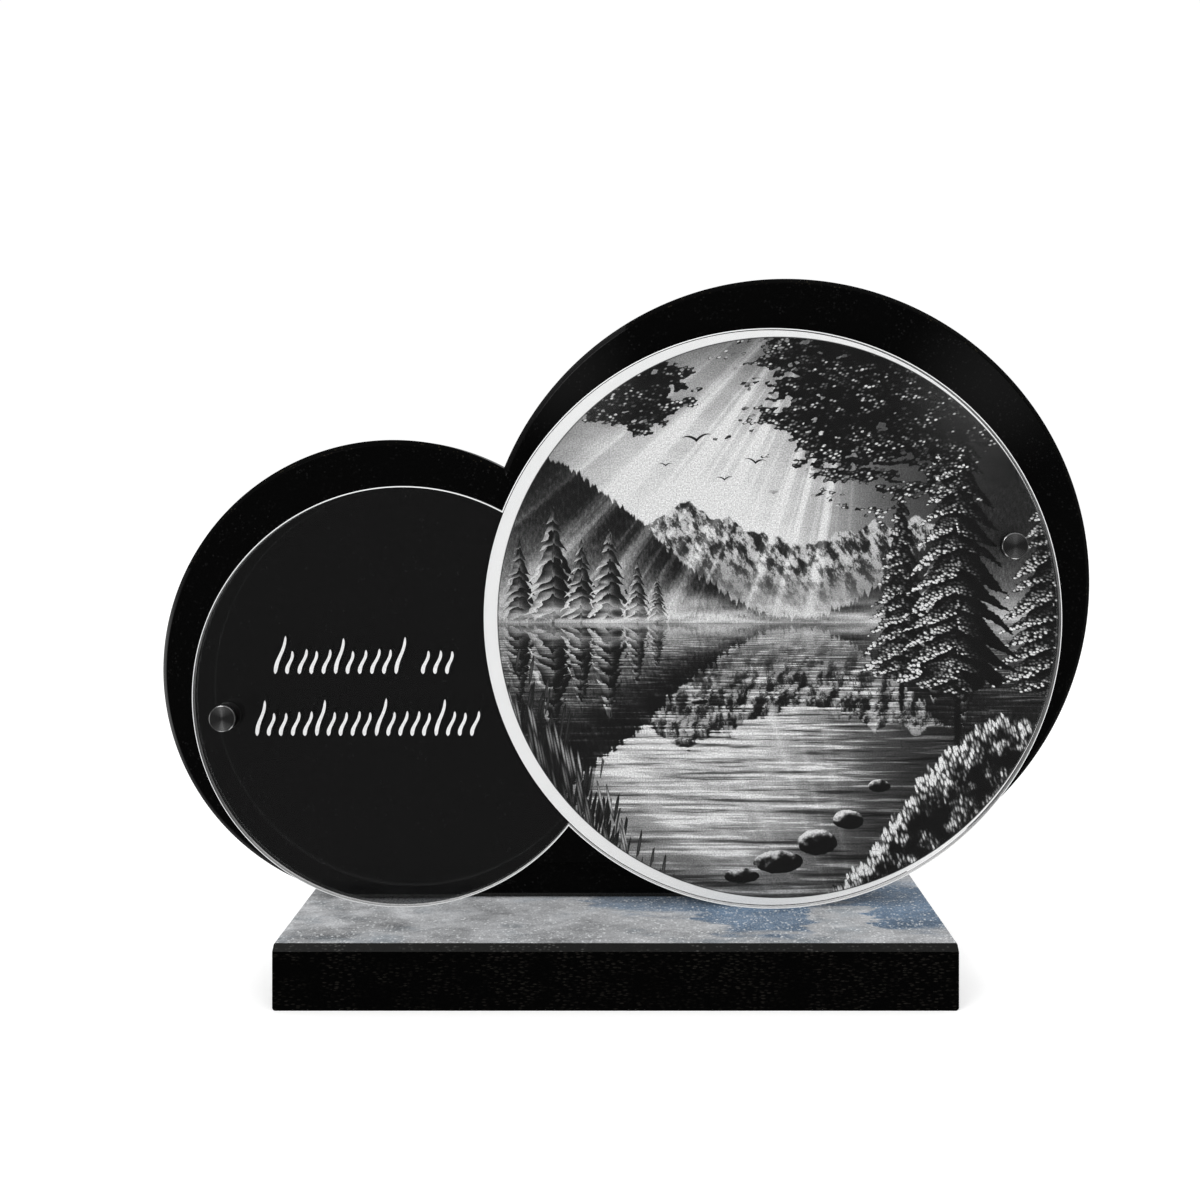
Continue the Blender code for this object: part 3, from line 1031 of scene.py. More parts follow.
def hand_over(piece: bpy.types.Object, slot: Slot, *nodes: str) -> None:
    """Ties a finished piece to its body, and logs it.

    Args:
        piece: The piece.
        slot: The slot that it takes its finish from; not used.
        *nodes: The CAD nodes that it replaces.
    """
    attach(piece, Body.WHOLE.value)
    if nodes:
        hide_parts(*nodes)
    piece.data.calc_loop_triangles()
    log.info("%s: %d triangles, replaces %s", piece.name, len(piece.data.loop_triangles), nodes or "nothing")


@dataclass(frozen=True)
class Disc:
    """A disc in an upright plane: its centre's X and Z, and its radius."""

    x: float
    z: float
    radius: float

    def shrunk(self, by: float) -> "Disc":
        """The same disc with a smaller radius."""
        return Disc(self.x, self.z, self.radius - by)

    def at(self, angle: float) -> Point:
        """The rim's point at an angle from +X towards +Z."""
        return (self.x + self.radius * math.cos(angle), self.z + self.radius * math.sin(angle))

    def angle_of(self, point: Point) -> float:
        """The angle, from +X towards +Z, at which a point lies."""
        return math.atan2(point[1] - self.z, point[0] - self.x)

    def arc(self, start: float, end: float, steps: int) -> list[Point]:
        """Points counterclockwise from one angle to another, without the last one.

        Args:
            start: The first angle.
            end: The last angle.
            steps: How many points there are.

        Returns:
            The points.
        """
        sweep = (end - start) % (2 * math.pi)
        return [self.at(start + sweep * step / steps) for step in range(steps)]

    def inset(self, by: float) -> list[Point]:
        """The rim as an outline, moved inwards, a hair short of a full turn, which would count as none."""
        return self.shrunk(by).arc(0.0, 2 * math.pi - 1e-9, DISC_STEPS)


def crossing(big: Disc, small: Disc, above: bool) -> Point:
    """Where the rims of two discs cross.

    Args:
        big: The disc on the right.
        small: The disc on the left.
        above: Whether the upper one of the two crossings is meant.

    Returns:
        The crossing.
    """
    between = Vector((big.x - small.x, big.z - small.z))
    apart = between.length
    along = (small.radius**2 - big.radius**2 + apart**2) / (2 * apart)
    aside = math.sqrt(small.radius**2 - along**2) * (1 if above else -1)
    unit = between / apart
    found = Vector((small.x, small.z)) + unit * along + Vector((-unit.y, unit.x)) * aside
    return (found.x, found.y)


@dataclass(frozen=True)
class TwoDiscs:
    """The outline round two overlapping discs."""

    big: Disc
    small: Disc
    big_steps: int = DISC_STEPS
    small_steps: int = 208

    def inset(self, by: float) -> list[Point]:
        """The outline moved inwards, always with the same number of points.

        Args:
            by: How far it is moved.

        Returns:
            The outline's points, counterclockwise.
        """
        big, small = self.big.shrunk(by), self.small.shrunk(by)
        top, bottom = crossing(big, small, True), crossing(big, small, False)
        outline = big.arc(big.angle_of(bottom), big.angle_of(top), self.big_steps)
        return outline + small.arc(small.angle_of(top), small.angle_of(bottom), self.small_steps)


@dataclass(frozen=True)
class FootedDiscs(TwoDiscs):
    """The outline round two discs and the flat foot that both stand on."""

    foot_z: float = 0.0288
    tangent: float = math.radians(-70)

    def inset(self, by: float) -> list[Point]:
        """The outline moved inwards, always with the same number of points.

        Args:
            by: How far it is moved.

        Returns:
            The outline's points, counterclockwise.
        """
        big, small = self.big.shrunk(by), self.small.shrunk(by)
        foot_z = self.foot_z + by
        top = crossing(big, small, True)
        left = (small.x - math.sqrt(small.radius**2 - (foot_z - small.z) ** 2), foot_z)
        leaving = big.at(self.tangent)
        slope = math.cos(self.tangent) / -math.sin(self.tangent)
        right = (leaving[0] - (leaving[1] - foot_z) / slope, foot_z)
        outline = [left, right] + big.arc(self.tangent, big.angle_of(top), self.big_steps)
        return outline + small.arc(small.angle_of(top), small.angle_of(left), self.small_steps)


def plate_mesh(
    name: str, outline: Disc | TwoDiscs, profile: Sequence[tuple[float, float, int]]
) -> bpy.types.Mesh:
    """A plate with a profiled rim.

    Args:
        name: The mesh's name.
        outline: What gives the outline's points for an inset.
        profile: Rows of (inset, y, material number of the band behind the row), front to back.

    Returns:
        The closed mesh, whose two faces have material 0.
    """
    plate = bmesh.new()
    rings = [[plate.verts.new((x, y, z)) for x, z in outline.inset(inset)] for inset, y, _ in profile]
    plate.faces.new(rings[0])
    plate.faces.new(reversed(rings[-1]))
    for front, back, (_, _, material) in zip(rings, rings[1:], profile):
        for index in range(len(front)):
            after = (index + 1) % len(front)
            face = plate.faces.new((front[index], back[index], back[after], front[after]))
            face.material_index = material
    return finished(plate, name)


def turned_mesh(name: str, profile: Sequence[Point], axis: Point, steps: int = 72) -> bpy.types.Mesh:
    """A shape turned about an axis that runs along Y.

    Args:
        name: The mesh's name.
        profile: Rows of (radius, y) along the outside.
        axis: The axis's X and Z.
        steps: Facets round the axis.

    Returns:
        The closed mesh.
    """
    turned = bmesh.new()
    rings = []
    for radius, y in profile:
        spots = steps if radius > 0 else 1
        ring = []
        for step in range(spots):
            angle = 2 * math.pi * step / steps
            place = (axis[0] + radius * math.cos(angle), y, axis[1] + radius * math.sin(angle))
            ring.append(turned.verts.new(place))
        rings.append(ring)
    for near, far in zip(rings, rings[1:]):
        for step in range(steps):
            after = (step + 1) % steps
            corners = [ring[place % len(ring)] for ring, place in
                       ((near, step), (near, after), (far, after), (far, step))]
            turned.faces.new(list(dict.fromkeys(corners)))
    bmesh.ops.recalc_face_normals(turned, faces=turned.faces)
    return finished(turned, name)


def drill(piece: bpy.types.Object, places: Sequence[Point], radius: float, front_y: float, end_y: float) -> None:
    """Cuts round holes along Y into a piece.

    Args:
        piece: The piece.
        places: The holes' axes, as X and Z.
        radius: The holes' radius.
        front_y: The face that the drill enters.
        end_y: Where the drill stops, in the piece or behind it.
    """
    start_y = front_y - DRILL_CLEARANCE
    for number, place in enumerate(places):
        profile = ((0.0, start_y), (radius, start_y), (radius, end_y), (0.0, end_y))
        cutter = new_object(f"{piece.name}_drill_{number}", turned_mesh("drill", profile, place, 48), ())
        cut = piece.modifiers.new("hole", "BOOLEAN")
        cut.solver = "EXACT"
        cut.object = cutter
    bake_modifiers(piece)
    for cutter in [other for other in bpy.data.objects if other.name.startswith(f"{piece.name}_drill_")]:
        bpy.data.objects.remove(cutter)


class SlabFace(IntEnum):
    """The slab's materials, in the order of their slots."""

    POLISHED = 0
    SKY = 1
    HONED = 2


@dataclass(frozen=True)
class BaseSlab:
    """The granite slab that the plaque stands on."""

    width: float = 0.300
    depth: float = 0.100
    height: float = 0.0285
    front_chamfer: float = 0.0027
    foot_rounding: float = 0.0015
    arris: float = 0.0006
    polished: BlackGranite = BlackGranite(
        "granite_base", tone=(0.0004, 0.0004, 0.0004), speck_tone=(0.0085, 0.0078, 0.0066), speck_size=0.0009,
        speck_share=0.9, speck_stretch=3.0, gloss=1.2,
    )
    honed: BlackGranite = BlackGranite(
        "granite_base_chamfer", tone=(0.006, 0.006, 0.0056), speck_tone=(0.045, 0.045, 0.042), speck_size=0.0009,
        speck_share=0.6, speck_stretch=2.0, roughness=0.35,
    )

    def shape(self) -> bpy.types.Mesh:
        """The slab's mesh, with its edges eased and its faces given their materials."""
        slab = bmesh.new()
        bmesh.ops.create_cube(slab, size=1)
        bmesh.ops.scale(slab, vec=(self.width, self.depth, self.height), verts=slab.verts)
        bmesh.ops.translate(slab, vec=(0, 0, self.height / 2), verts=slab.verts)

        def ease(offset: float, segments: int, *tests: tuple[int, float]) -> None:
            """Bevels some of the edges.

            Args:
                offset: How far the bevel goes.
                segments: How many facets it has.
                *tests: Coordinates, as (axis, value), that both ends of an edge have to have.
            """
            edges = [
                edge for edge in slab.edges
                if all(abs(vert.co[axis] - value) < MERGE_DISTANCE for axis, value in tests for vert in edge.verts)
            ]
            bmesh.ops.bevel(slab, geom=edges, offset=offset, segments=segments, profile=0.5, affect="EDGES")

        left, right = (0, -self.width / 2), (0, self.width / 2)
        front, back = (1, -self.depth / 2), (1, self.depth / 2)
        foot, top = (2, 0.0), (2, self.height)
        ease(self.foot_rounding, 6, left, foot)
        ease(self.foot_rounding, 6, right, foot)
        ease(self.front_chamfer, 1, front, top)
        for side in (left, right, back):
            ease(self.arris, 3, side, top)
        for face in slab.faces:
            face.normal_update()
            # The top takes the painted sky reflection.
            if face.normal.z > 0.95:
                face.material_index = SlabFace.SKY
            elif face.normal.z > 0.5 and face.normal.y < -0.5:
                face.material_index = SlabFace.HONED
        return finished(slab, "base_slab")

    def build(self) -> None:
        """Builds and dresses the slab."""
        finishes = (self.polished.make(), SkyReflectionTop(width=self.width, depth=self.depth).make(), self.honed.make())
        piece = new_object("base_slab", self.shape(), finishes)
        smooth(piece, sharp_degrees=25.0)
        hand_over(piece, Slot.BASE, "base")


class PanelFace(IntEnum):
    """The panel's materials, in the order of their slots."""

    POLISHED = 0
    RIM = 1
    FOOT = 2
    DULL_RIM = 3


@dataclass(frozen=True)
class GranitePanel:
    """The black panel behind the sheet."""

    outline: FootedDiscs
    front_y: float = 0.005
    thickness: float = 0.020
    chamfer: float = 0.0026
    fillet: float = 0.00025
    spigot_holes: tuple[Point, ...] = ()
    hole_radius: float = 0.0028
    hole_depth: float = 0.009
    small_bright_climb: float = 0.45
    big_bright_climb: float = 0.85
    finishes: tuple[BlackGranite, ...] = (
        BlackGranite("granite_panel", speck_tone=(0.006, 0.006, 0.006), speck_share=0.2, roughness=0.04),
        BlackGranite("granite_panel_chamfer", tone=(0.002, 0.002, 0.002), speck_tone=(0.01, 0.01, 0.01),
                     roughness=0.05, gloss=1.3),
        BlackGranite("granite_panel_foot", tone=(0.018, 0.018, 0.017), speck_tone=(0.03, 0.03, 0.03),
                     roughness=0.3),
        # Painted shade: a darker, duller copy of the chamfer finish, for the rim where it faces right or up.
        BlackGranite("granite_panel_chamfer_dull", tone=(0.0015, 0.0015, 0.0015), roughness=0.12, gloss=1.08),
    )

    def shape(self) -> bpy.types.Mesh:
        """The panel's mesh, whose chamfers meet its faces in small rounded edges."""
        run, drop = self.fillet * 0.7, self.fillet * 0.28
        edge = ((self.chamfer + self.fillet, 0.0), (self.chamfer - run, drop),
                (drop, self.chamfer - run), (0.0, self.chamfer + self.fillet))
        profile = [(inset, self.front_y + y, PanelFace.RIM) for inset, y in edge]
        profile[-1] = (*profile[-1][:2], PanelFace.POLISHED)
        profile += [(inset, self.front_y + self.thickness - y, PanelFace.RIM) for inset, y in reversed(edge)]
        return plate_mesh("granite_panel", self.outline, profile)

    def dull_rim(self, mesh: bpy.types.Mesh) -> None:
        """Keeps the rim bright only where it faces left, with painted shade elsewhere, and gives the foot a finish
        of its own.
        """
        notch_x = crossing(self.outline.big, self.outline.small, above=True)[0]
        for polygon in mesh.polygons:
            if polygon.material_index != PanelFace.RIM:
                continue
            climb = polygon.normal.z / math.hypot(polygon.normal.x, polygon.normal.z)
            bright_climb = self.small_bright_climb if polygon.center.x < notch_x else self.big_bright_climb
            if polygon.center.z < self.outline.foot_z + self.chamfer:
                polygon.material_index = PanelFace.FOOT
            # Painted shade where the rim faces right or climbs steeply.
            elif polygon.normal.x > 0 or climb > bright_climb:
                polygon.material_index = PanelFace.DULL_RIM

    def build(self) -> None:
        """Builds and dresses the panel."""
        mesh = self.shape()
        self.dull_rim(mesh)
        piece = new_object("granite_panel", mesh, [finish.make() for finish in self.finishes])
        drill(piece, self.spigot_holes, self.hole_radius, self.front_y, self.front_y + self.hole_depth)
        smooth(piece, sharp_degrees=50.0)
        hand_over(piece, Slot.PANEL, "back_panel")


class SheetFace(IntEnum):
    """The sheet's materials, in the order of their slots."""

    CLEAR = 0
    LINE = 1
    WALL = 2


@dataclass(frozen=True)
class ClearSheet:
    """The clear acrylic sheet, with milky cut edges and a painted highlight along its front edge."""

    outline: TwoDiscs
    front_y: float = -0.012
    thickness: float = 0.005
    chamfer: float = 0.0004
    polished_rim: float = 0.0001
    stud_holes: tuple[Point, ...] = ()
    hole_radius: float = 0.0028
    # The front edge line glows as a painted highlight; the wall gets painted light low down, near the base.
    line: CutEdge = CutEdge("acrylic_edge_line", tone=0.40, roughness=0.5, clearness=0.0, glow=0.42)
    wall: CutEdge = CutEdge("acrylic_edge_wall", tone=0.13, roughness=0.4, clearness=0.45, low_lift=4.5)

    def build(self) -> None:
        """Builds and dresses the sheet, which casts no shadow and dims no diffuse light, as clear acrylic."""
        back_y = self.front_y + self.thickness
        profile = (
            (self.chamfer + self.polished_rim, self.front_y, SheetFace.LINE),
            (self.chamfer, self.front_y, SheetFace.LINE), (0.0, self.front_y + self.chamfer, SheetFace.WALL),
            (0.0, back_y - self.chamfer, SheetFace.WALL), (self.chamfer, back_y, SheetFace.WALL),
        )
        mesh = plate_mesh("clear_sheet", self.outline, profile)
        piece = new_object("clear_sheet", mesh, (BareAcrylic().make(), self.line.make(), self.wall.make()))
        drill(piece, self.stud_holes, self.hole_radius, self.front_y, back_y + DRILL_CLEARANCE)
        smooth(piece, sharp_degrees=30.0)
        piece.visible_shadow = False
        piece.visible_diffuse = False
        hand_over(piece, Slot.SHEET, "front_panel")


class FilmFace(IntEnum):
    """The film's materials, in the order of their slots."""

    SKY = 0
    WHITE = 1
    WATER = 2


@dataclass(frozen=True)
class PictureFilm:
    """The printed film behind the sheet's big disc."""

    disc: Disc
    front_y: float = -0.0067
    thickness: float = 0.0003
    stud_holes: tuple[Point, ...] = ()
    hole_radius: float = 0.0028

    def build(self) -> None:
        """Builds and dresses the film."""
        back_y = self.front_y + self.thickness
        picture = LakePicture()
        rim = ((0.0, self.front_y, FilmFace.WHITE), (0.0, back_y, FilmFace.WHITE))
        mesh = plate_mesh("picture_film", self.disc, rim)
        film = bmesh.new()
        film.from_mesh(mesh)
        whole = film.verts[:] + film.edges[:] + film.faces[:]
        bmesh.ops.bisect_plane(film, geom=whole, plane_co=(0, 0, picture.horizon_z), plane_no=(0, 0, 1))
        for face in film.faces:
            part = FilmFace.WATER if face.calc_center_median().z < picture.horizon_z else FilmFace.SKY
            face.material_index = FilmFace.WHITE if face.normal.y > 0.5 else part
        film.to_mesh(mesh)
        film.free()
        finishes = (picture.make(PicturePart.SKY), picture.border.make(), picture.make(PicturePart.WATER))
        piece = new_object("picture_film", mesh, finishes)
        drill(piece, self.stud_holes, self.hole_radius, self.front_y, back_y + DRILL_CLEARANCE)
        hand_over(piece, Slot.PRINT, "picture_print")


@dataclass(frozen=True)
class StrokeRow:
    """One row of strokes: its width, where its middle and its foot line are, and its runs of strokes."""

    width: float
    shift: float
    rise: float
    runs: tuple[int, ...]


@dataclass(frozen=True)
class Inscription:
    """Two rows of slanted, tapered strokes that stand for an inscription."""

    disc: Disc
    front_y: float = -0.012
    depth: float = 0.0004
    proud: float = 0.00002
    stroke_width: float = 0.0021
    short: float = 0.0113
    tall: float = 0.0175
    tall_every: int = 5
    slant: float = math.radians(14)
    taper: float = 0.55
    swing: float = 0.00055
    run_gap: float = 0.007
    seed: int = 4
    rows: tuple[StrokeRow, ...] = (
        StrokeRow(0.0865, -0.0175, 0.0107, (11, 3)), StrokeRow(0.1065, -0.0160, -0.0184, (19,)),
    )

    def feet(self) -> list[tuple[float, float, float]]:
        """The strokes' feet, as (x, z, height)."""
        feet = []
        for row in self.rows:
            pitch = (row.width - (len(row.runs) - 1) * self.run_gap) / sum(row.runs)
            x = self.disc.x + row.shift - row.width / 2
            drawn = 0
            for run in row.runs:
                for _ in range(run):
                    height = self.short if drawn % self.tall_every else self.tall
                    feet.append((x + self.stroke_width / 2, self.disc.z + row.rise, height))
                    x += pitch
                    drawn += 1
                x += self.run_gap
        return feet

    def tree(self) -> bpy.types.NodeTree:
        """Geometry Nodes that stand a bowed, tapered stroke on every foot."""
        tree = bpy.data.node_groups.new("stroke rows", "GeometryNodeTree")
        sizes = dict.fromkeys(("Width", "Taper", "Slant", "Swing", "Depth"), "Float")
        for name, kind in {"Geometry": "Geometry", **sizes, "Seed": "Int", "Material": "Material"}.items():
            tree.interface.new_socket(name=name, in_out="INPUT", socket_type=f"NodeSocket{kind}")
        tree.interface.new_socket(name="Geometry", in_out="OUTPUT", socket_type="NodeSocketGeometry")
        graph = Graph(tree)
        given = graph.add("NodeGroupInput").outputs
        result = graph.add("NodeGroupOutput")

        def store(geometry: Any, name: str, value: Any, kind: str = "FLOAT") -> bpy.types.NodeSocket:
            """Keeps a value on a geometry's points.

            Args:
                geometry: The geometry.
                name: The name that the value is kept under.
                value: The value.
                kind: The value's kind.

            Returns:
                The geometry with the value.
            """
            inputs = {"Geometry": geometry, "Name": name, "Value": value}
            node = graph.add("GeometryNodeStoreNamedAttribute", inputs, data_type=kind, domain="POINT")
            return node.outputs["Geometry"]

        def stored(name: str, kind: str = "FLOAT") -> bpy.types.NodeSocket:
            """Reads a value that was kept."""
            node = graph.add("GeometryNodeInputNamedAttribute", {"Name": name}, data_type=kind)
            return node.outputs["Attribute"]

        grid = {"Size X": 1.0, "Size Y": 1.0, "Vertices X": 5, "Vertices Y": 21}
        patch = graph.add("GeometryNodeMeshGrid", grid)
        place = graph.add("GeometryNodeInputPosition").outputs[0]
        patch_x, patch_y, _ = graph.split(place)
        patch = store(store(patch.outputs["Mesh"], "across", patch_x), "along", patch_y + 0.5)
        chance = graph.add("FunctionNodeRandomValue", {2: -1.0, 3: 1.0, "Seed": given["Seed"]}, data_type="FLOAT")
        points = store(given["Geometry"], "foot", place, "FLOAT_VECTOR")
        points = store(points, "whim", chance.outputs[1])
        placed = graph.add("GeometryNodeInstanceOnPoints", {"Points": points, "Instance": patch})
        realized = graph.add("GeometryNodeRealizeInstances", {"Geometry": placed.outputs[0]}).outputs[0]
        across, along = graph.field(stored("across")), graph.field(stored("along"))
        whim = graph.field(stored("whim"))
        height = graph.field(stored("stroke_height")) * (1 + whim * 0.06)
        foot_x, foot_y, foot_z = graph.split(stored("foot", "FLOAT_VECTOR"))
        fullness = (1 - abs(along * 2 - 1) ** 5.0).most(0.0) ** 0.5
        breadth = graph.field(given["Width"]) * graph.blend(along, 1.0, graph.field(given["Taper"])) * fullness
        sway = graph.math("SINE", along * 2 * math.pi) * graph.field(given["Swing"])
        lean = graph.math("TANGENT", graph.field(given["Slant"])) * height * along * (1 + whim * 0.2)
        spot = graph.join(foot_x + lean - sway + across * breadth, foot_y, foot_z + along * height)
        shaped = graph.add("GeometryNodeSetPosition", {"Geometry": realized, "Position": spot}).outputs[0]
        faced = graph.add("GeometryNodeFlipFaces", {"Mesh": shaped}).outputs[0]
        inwards = graph.join(0.0, graph.field(given["Depth"]), 0.0)
        push = {"Mesh": shaped, "Offset": inwards, "Offset Scale": 1.0, "Individual": False}
        deep = graph.add("GeometryNodeExtrudeMesh", push, mode="FACES")
        both = graph.add("GeometryNodeJoinGeometry", {0: faced})
        graph.feed(both.inputs[0], deep.outputs["Mesh"])
        merge = {"Geometry": both.outputs[0], "Distance": MERGE_DISTANCE}
        closed = graph.add("GeometryNodeMergeByDistance", merge).outputs[0]
        dressed = graph.add("GeometryNodeSetMaterial", {"Geometry": closed, "Material": given["Material"]})
        graph.feed(result.inputs[0], dressed.outputs[0])
        return tree

    def build(self) -> None:
        """Builds and dresses both rows as one piece."""
        feet = self.feet()
        mesh = bpy.data.meshes.new("inscription_strokes")
        mesh.from_pydata([(x, self.front_y - self.proud, z) for x, z, _ in feet], [], [])
        heights = mesh.attributes.new("stroke_height", "FLOAT", "POINT")
        heights.data.foreach_set("value", [height for _, _, height in feet])
        white = WhiteStroke().make()
        piece = new_object("inscription_strokes", mesh, ())
        tree = self.tree()
        rows = piece.modifiers.new("stroke rows", "NODES")
        rows.node_group = tree
        values = {"Width": self.stroke_width, "Taper": self.taper, "Slant": self.slant, "Swing": self.swing,
                  "Depth": self.depth, "Seed": self.seed, "Material": white}
        for socket in tree.interface.items_tree:
            if socket.item_type == "SOCKET" and socket.in_out == "INPUT" and socket.name in values:
                rows[socket.identifier] = values[socket.name]
        bake_modifiers(piece)
        outwards = bmesh.new()
        outwards.from_mesh(piece.data)
        bmesh.ops.recalc_face_normals(outwards, faces=outwards.faces)
        outwards.to_mesh(piece.data)
        outwards.free()
        hand_over(piece, Slot.ENGRAVING)


class StandoffFace(IntEnum):
    """A standoff's materials, in the order of their slots."""

    SIDE = 0
    FACE = 1
    BEVEL = 2


@dataclass(frozen=True)
class Standoff:
    """A spacer barrel on the panel and a turned cap whose stud passes the sheet into the barrel."""

    side: str
    place: Point
    mouth: float
    panel_y: float = 0.005
    radius: float = 0.00625
    touch_gap: float = 0.0003
    barrel_bevel: float = 0.0004
    bore_radius: float = 0.0028
    bore_floor: float = 0.004
    spigot_radius: float = 0.0025
    spigot_length: float = 0.008
    cap_seat: float = 0.0173
    cap_thickness: float = 0.004
    cap_bevel: float = 0.0005
    cap_arris: float = 0.0002
    bevel_bulge: float = 0.3
    cap_bulge: float = 0.35
    stud_radius: float = 0.0025
    stud_end: float = 0.005
    stud_point: float = 0.0005

    def finish(self, face: StandoffFace, tone: float, roughness: float, spun: float) -> bpy.types.Material:
        """The finish of one kind of face, turned about the standoff's own axis."""
        return BlackAnodised(f"anodised_{face.name.lower()}_{self.side}", tone, roughness, spun, self.place).make()

    def turned(
        self, name: str, profile: Sequence[Point], finishes: Sequence[bpy.types.Material]
    ) -> bpy.types.Object:
        """A turned piece from rows of (radius, distance out from the panel)."""
        outside = [(radius, self.panel_y - out) for radius, out in profile]
        return new_object(name, turned_mesh(name, outside, self.place), finishes)

    def barrel_profile(self) -> tuple[Point, ...]:
        """The barrel's profile, from the floor of its bore to the end of its spigot."""
        bevel, bulge = self.barrel_bevel, self.barrel_bevel * self.bevel_bulge
        return (
            (0.0, self.bore_floor), (self.bore_radius, self.bore_floor), (self.bore_radius, self.mouth),
            (self.radius - bevel, self.mouth), (self.radius - bulge, self.mouth - bulge),
            (self.radius, self.mouth - bevel), (self.radius, self.touch_gap + bevel),
            (self.radius - bevel, self.touch_gap), (self.spigot_radius, self.touch_gap),
            (self.spigot_radius, -self.spigot_length), (0.0, -self.spigot_length),
        )

    def cap_profile(self) -> tuple[Point, ...]:
        """The cap's profile, from the middle of its face to the end of its stud."""
        face, bevel, bulge = self.cap_seat + self.cap_thickness, self.cap_bevel, self.cap_bevel * self.cap_bulge
        return (
            (0.0, face), (self.radius - bevel, face), (self.radius - bulge, face - bulge),
            (self.radius, face - bevel), (self.radius, self.cap_seat + self.cap_arris),
            (self.radius - self.cap_arris, self.cap_seat), (self.stud_radius, self.cap_seat),
            (self.stud_radius, self.stud_end + self.stud_point),
            (self.stud_radius - self.stud_point, self.stud_end), (0.0, self.stud_end),
        )

    def build(self) -> None:
        """Builds and dresses the barrel and the cap."""
        # The face and the bevel are lighter copies of the side's black finish: painted highlight, strongest on the
        # bevel.
        side = self.finish(StandoffFace.SIDE, tone=0.12, roughness=0.28, spun=0.3)
        face = self.finish(StandoffFace.FACE, tone=0.27, roughness=0.28, spun=0.9)
        bevel = self.finish(StandoffFace.BEVEL, tone=0.60, roughness=0.14, spun=0.0)
        barrel = self.turned(f"standoff_{self.side}_spacer", self.barrel_profile(), (side,))
        cap = self.turned(f"standoff_{self.side}_head", self.cap_profile(), (side, face, bevel))
        for polygon in cap.data.polygons:
            if polygon.center.y < self.panel_y - self.cap_seat and polygon.normal.y < -0.1:
                flat = polygon.normal.y < -0.99
                polygon.material_index = StandoffFace.FACE if flat else StandoffFace.BEVEL
        for piece, node in ((barrel, "barrel"), (cap, "cap")):
            smooth(piece, sharp_degrees=40.0)
            hand_over(piece, Slot.STANDOFF, f"standoff_{self.side}_{node}")


@dataclass(frozen=True)
class Softbox:
    """A soft light, which mirror-like faces can be kept from showing."""

    name: str
    place: Place
    aim: Place
    size: float
    watts: float
    mirrored: bool = True

    def build(self) -> None:
        """Hangs the light."""
        light = bpy.data.lights.new(self.name, "AREA")
        light.shape = "DISK"
        light.size = self.size
        light.energy = self.watts
        lamp = bpy.data.objects.new(self.name, light)
        lamp.location = self.place
        lamp.rotation_euler = (Vector(self.aim) - Vector(self.place)).to_track_quat("-Z", "Y").to_euler()
        lamp.visible_camera = False
        lamp.visible_glossy = self.mirrored
        lamp.visible_transmission = self.mirrored
        bpy.context.scene.collection.objects.link(lamp)


class Glint(NamedTuple):
    """A soft round light that only polished faces show: where it is seen, how far it reaches, its strength."""

    x: float
    z: float
    reach: float
    strength: float


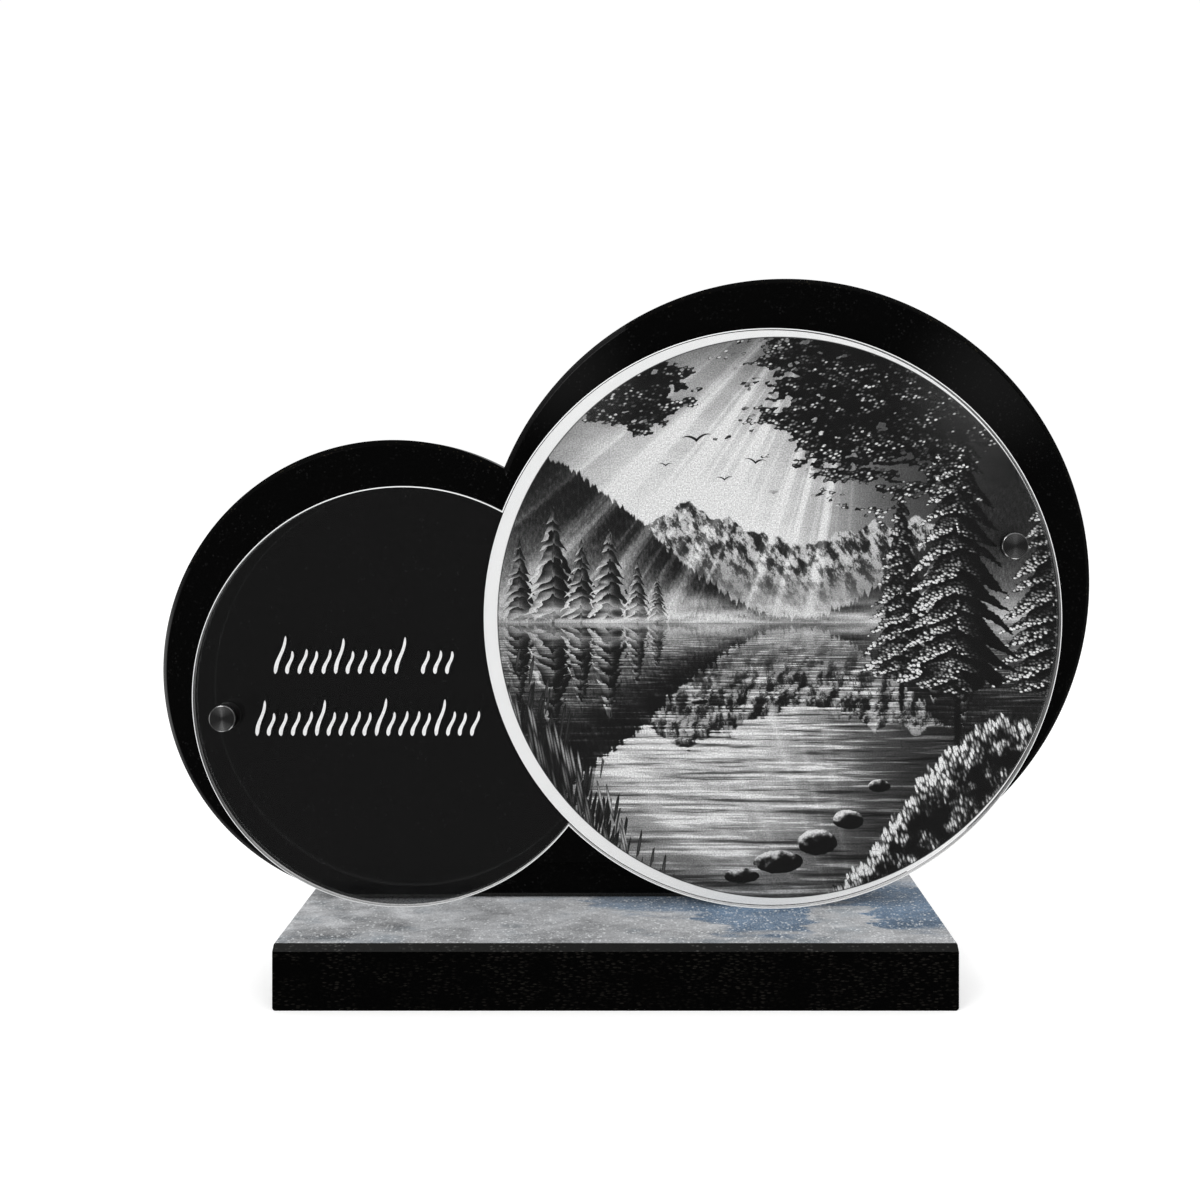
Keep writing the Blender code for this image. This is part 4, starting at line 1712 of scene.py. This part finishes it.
@dataclass(frozen=True)
class Studio:
    """The white studio: pale floor, soft light all round, and darker cloth that the polish reflects."""

    soft_light: float = 1.0
    backdrop: float = 1.02
    front_cloth: float = 0.095
    left_wall: float = 0.65
    ceiling: float = 0.32
    behind: float = 0.10
    glints: tuple[Glint, ...] = (
        Glint(0.30, 0.075, 0.085, 0.50), Glint(-0.055, 0.085, 0.075, 0.46),
        Glint(0.30, -0.82, 0.30, 3.2), Glint(-0.34, -0.74, 0.25, 2.4),
    )
    softboxes: tuple[Softbox, ...] = (
        Softbox("key softbox", (-1.1, -1.3, 1.5), (0.0, 0.0, 0.15), size=0.9, watts=10.0),
        Softbox("fill softbox", (0.18, -0.45, 0.06), (0.10, 0.0, 0.05), size=0.22, watts=0.95, mirrored=False),
    )
    camera_place: Place = (0.0063, -0.550, 0.23485)
    lens_mm: float = 34.35
    lens_shift: Point = (-0.025, -0.1058)
    floor_size: float = 4.0

    def build_world(self) -> None:
        """Lights the scene, with its own view for mirror-like reflections."""
        world = bpy.data.worlds.new("white studio")
        world.use_nodes = True
        graph = Graph(world.node_tree)
        world.node_tree.nodes.clear()
        x, y, z = graph.split(graph.add("ShaderNodeTexCoord").outputs["Generated"])
        wall = x.rise(-0.70, -0.90) * z.rise(0.16, -0.06) * z.rise(-0.50, -0.30)
        cloth = self.front_cloth + wall * self.left_wall + z.rise(0.35, 0.75) * self.ceiling
        cloth = cloth + y.rise(-0.2, 0.5) * self.behind
        for glint in self.glints:
            away = distance(x - glint.x, z - glint.z)
            cloth = cloth + away.rise(glint.reach, 0.0) * y.rise(0.3, -0.3) * glint.strength
        path = graph.add("ShaderNodeLightPath").outputs
        through = graph.field(path["Is Transmission Ray"])
        plain = graph.math("LESS_THAN", path["Diffuse Depth"], 0.5)
        bounced = graph.math("GREATER_THAN", path["Glossy Depth"], 0.5)
        mirrored = graph.field(path["Is Glossy Ray"]).most(through * plain * bounced)
        seen = graph.field(path["Is Camera Ray"]).most(through * plain * (1 - bounced))
        level = graph.blend(mirrored, self.soft_light * z.rise(-0.4, 0.9, 0.9, 1.15), cloth)
        level = graph.blend(seen, level, self.backdrop)
        light = graph.add("ShaderNodeBackground", {"Color": (1, 1, 1, 1), "Strength": level})
        output = graph.add("ShaderNodeOutputWorld")
        graph.feed(output.inputs["Surface"], light.outputs[0])
        bpy.context.scene.world = world

    def build_floor(self) -> None:
        """Lays the pale floor."""
        floor = bmesh.new()
        bmesh.ops.create_grid(floor, x_segments=1, y_segments=1, size=self.floor_size)
        paper = Surface("studio_paper", Roughness=0.9, Emission_Strength=0.30, Emission_Color=(1, 1, 1, 1))
        material = paper.feed(Base_Color=0.82 * paper.grain(0.004, 0.01))
        piece = new_object("studio_floor", finished(floor, "studio_floor"), (material,))
        piece.visible_glossy = False
        piece.visible_transmission = False

    def build_camera(self) -> None:
        """Puts the camera where the photograph was taken from."""
        lens = bpy.data.cameras.new("photo camera")
        lens.sensor_width = 36.0
        lens.lens = self.lens_mm
        lens.shift_x, lens.shift_y = self.lens_shift
        camera = bpy.data.objects.new("photo camera", lens)
        camera.location = self.camera_place
        camera.rotation_euler = (math.radians(90), 0.0, 0.0)
        bpy.context.scene.collection.objects.link(camera)
        bpy.context.scene.camera = camera
        bpy.context.scene.view_settings.view_transform = "Standard"

    def build(self) -> None:
        """Sets up camera, light and floor."""
        self.build_camera()
        self.build_world()
        for softbox in self.softboxes:
            softbox.build()
        self.build_floor()


def main() -> None:
    """Builds the studio and the plaque's pieces in order."""
    logging.basicConfig(level=logging.INFO, format="%(name)s: %(message)s")
    base = BaseSlab()
    top, touch, film_margin = base.height, 0.0003, 0.0006
    panel_big, panel_small = Disc(0.082, top + 0.153, 0.148), Disc(-0.109, top + 0.1105, 0.112)
    sheet_big, sheet_small = Disc(0.073, top + 0.138, 0.1365), Disc(-0.1007, top + 0.1012, 0.099)
    left = sheet_small.shrunk(0.0152).at(math.radians(186.5))
    right = sheet_big.shrunk(0.0184).at(math.radians(16.9))
    Studio().build()
    base.build()
    GranitePanel(FootedDiscs(panel_big, panel_small, foot_z=top + touch), spigot_holes=(left, right)).build()
    ClearSheet(TwoDiscs(sheet_big, sheet_small), stud_holes=(left, right)).build()
    PictureFilm(sheet_big.shrunk(film_margin), stud_holes=(right,)).build()
    Inscription(sheet_small).build()
    Standoff("left", left, mouth=0.0117).build()
    Standoff("right", right, mouth=0.0111).build()


if __name__ == "__main__":
    main()
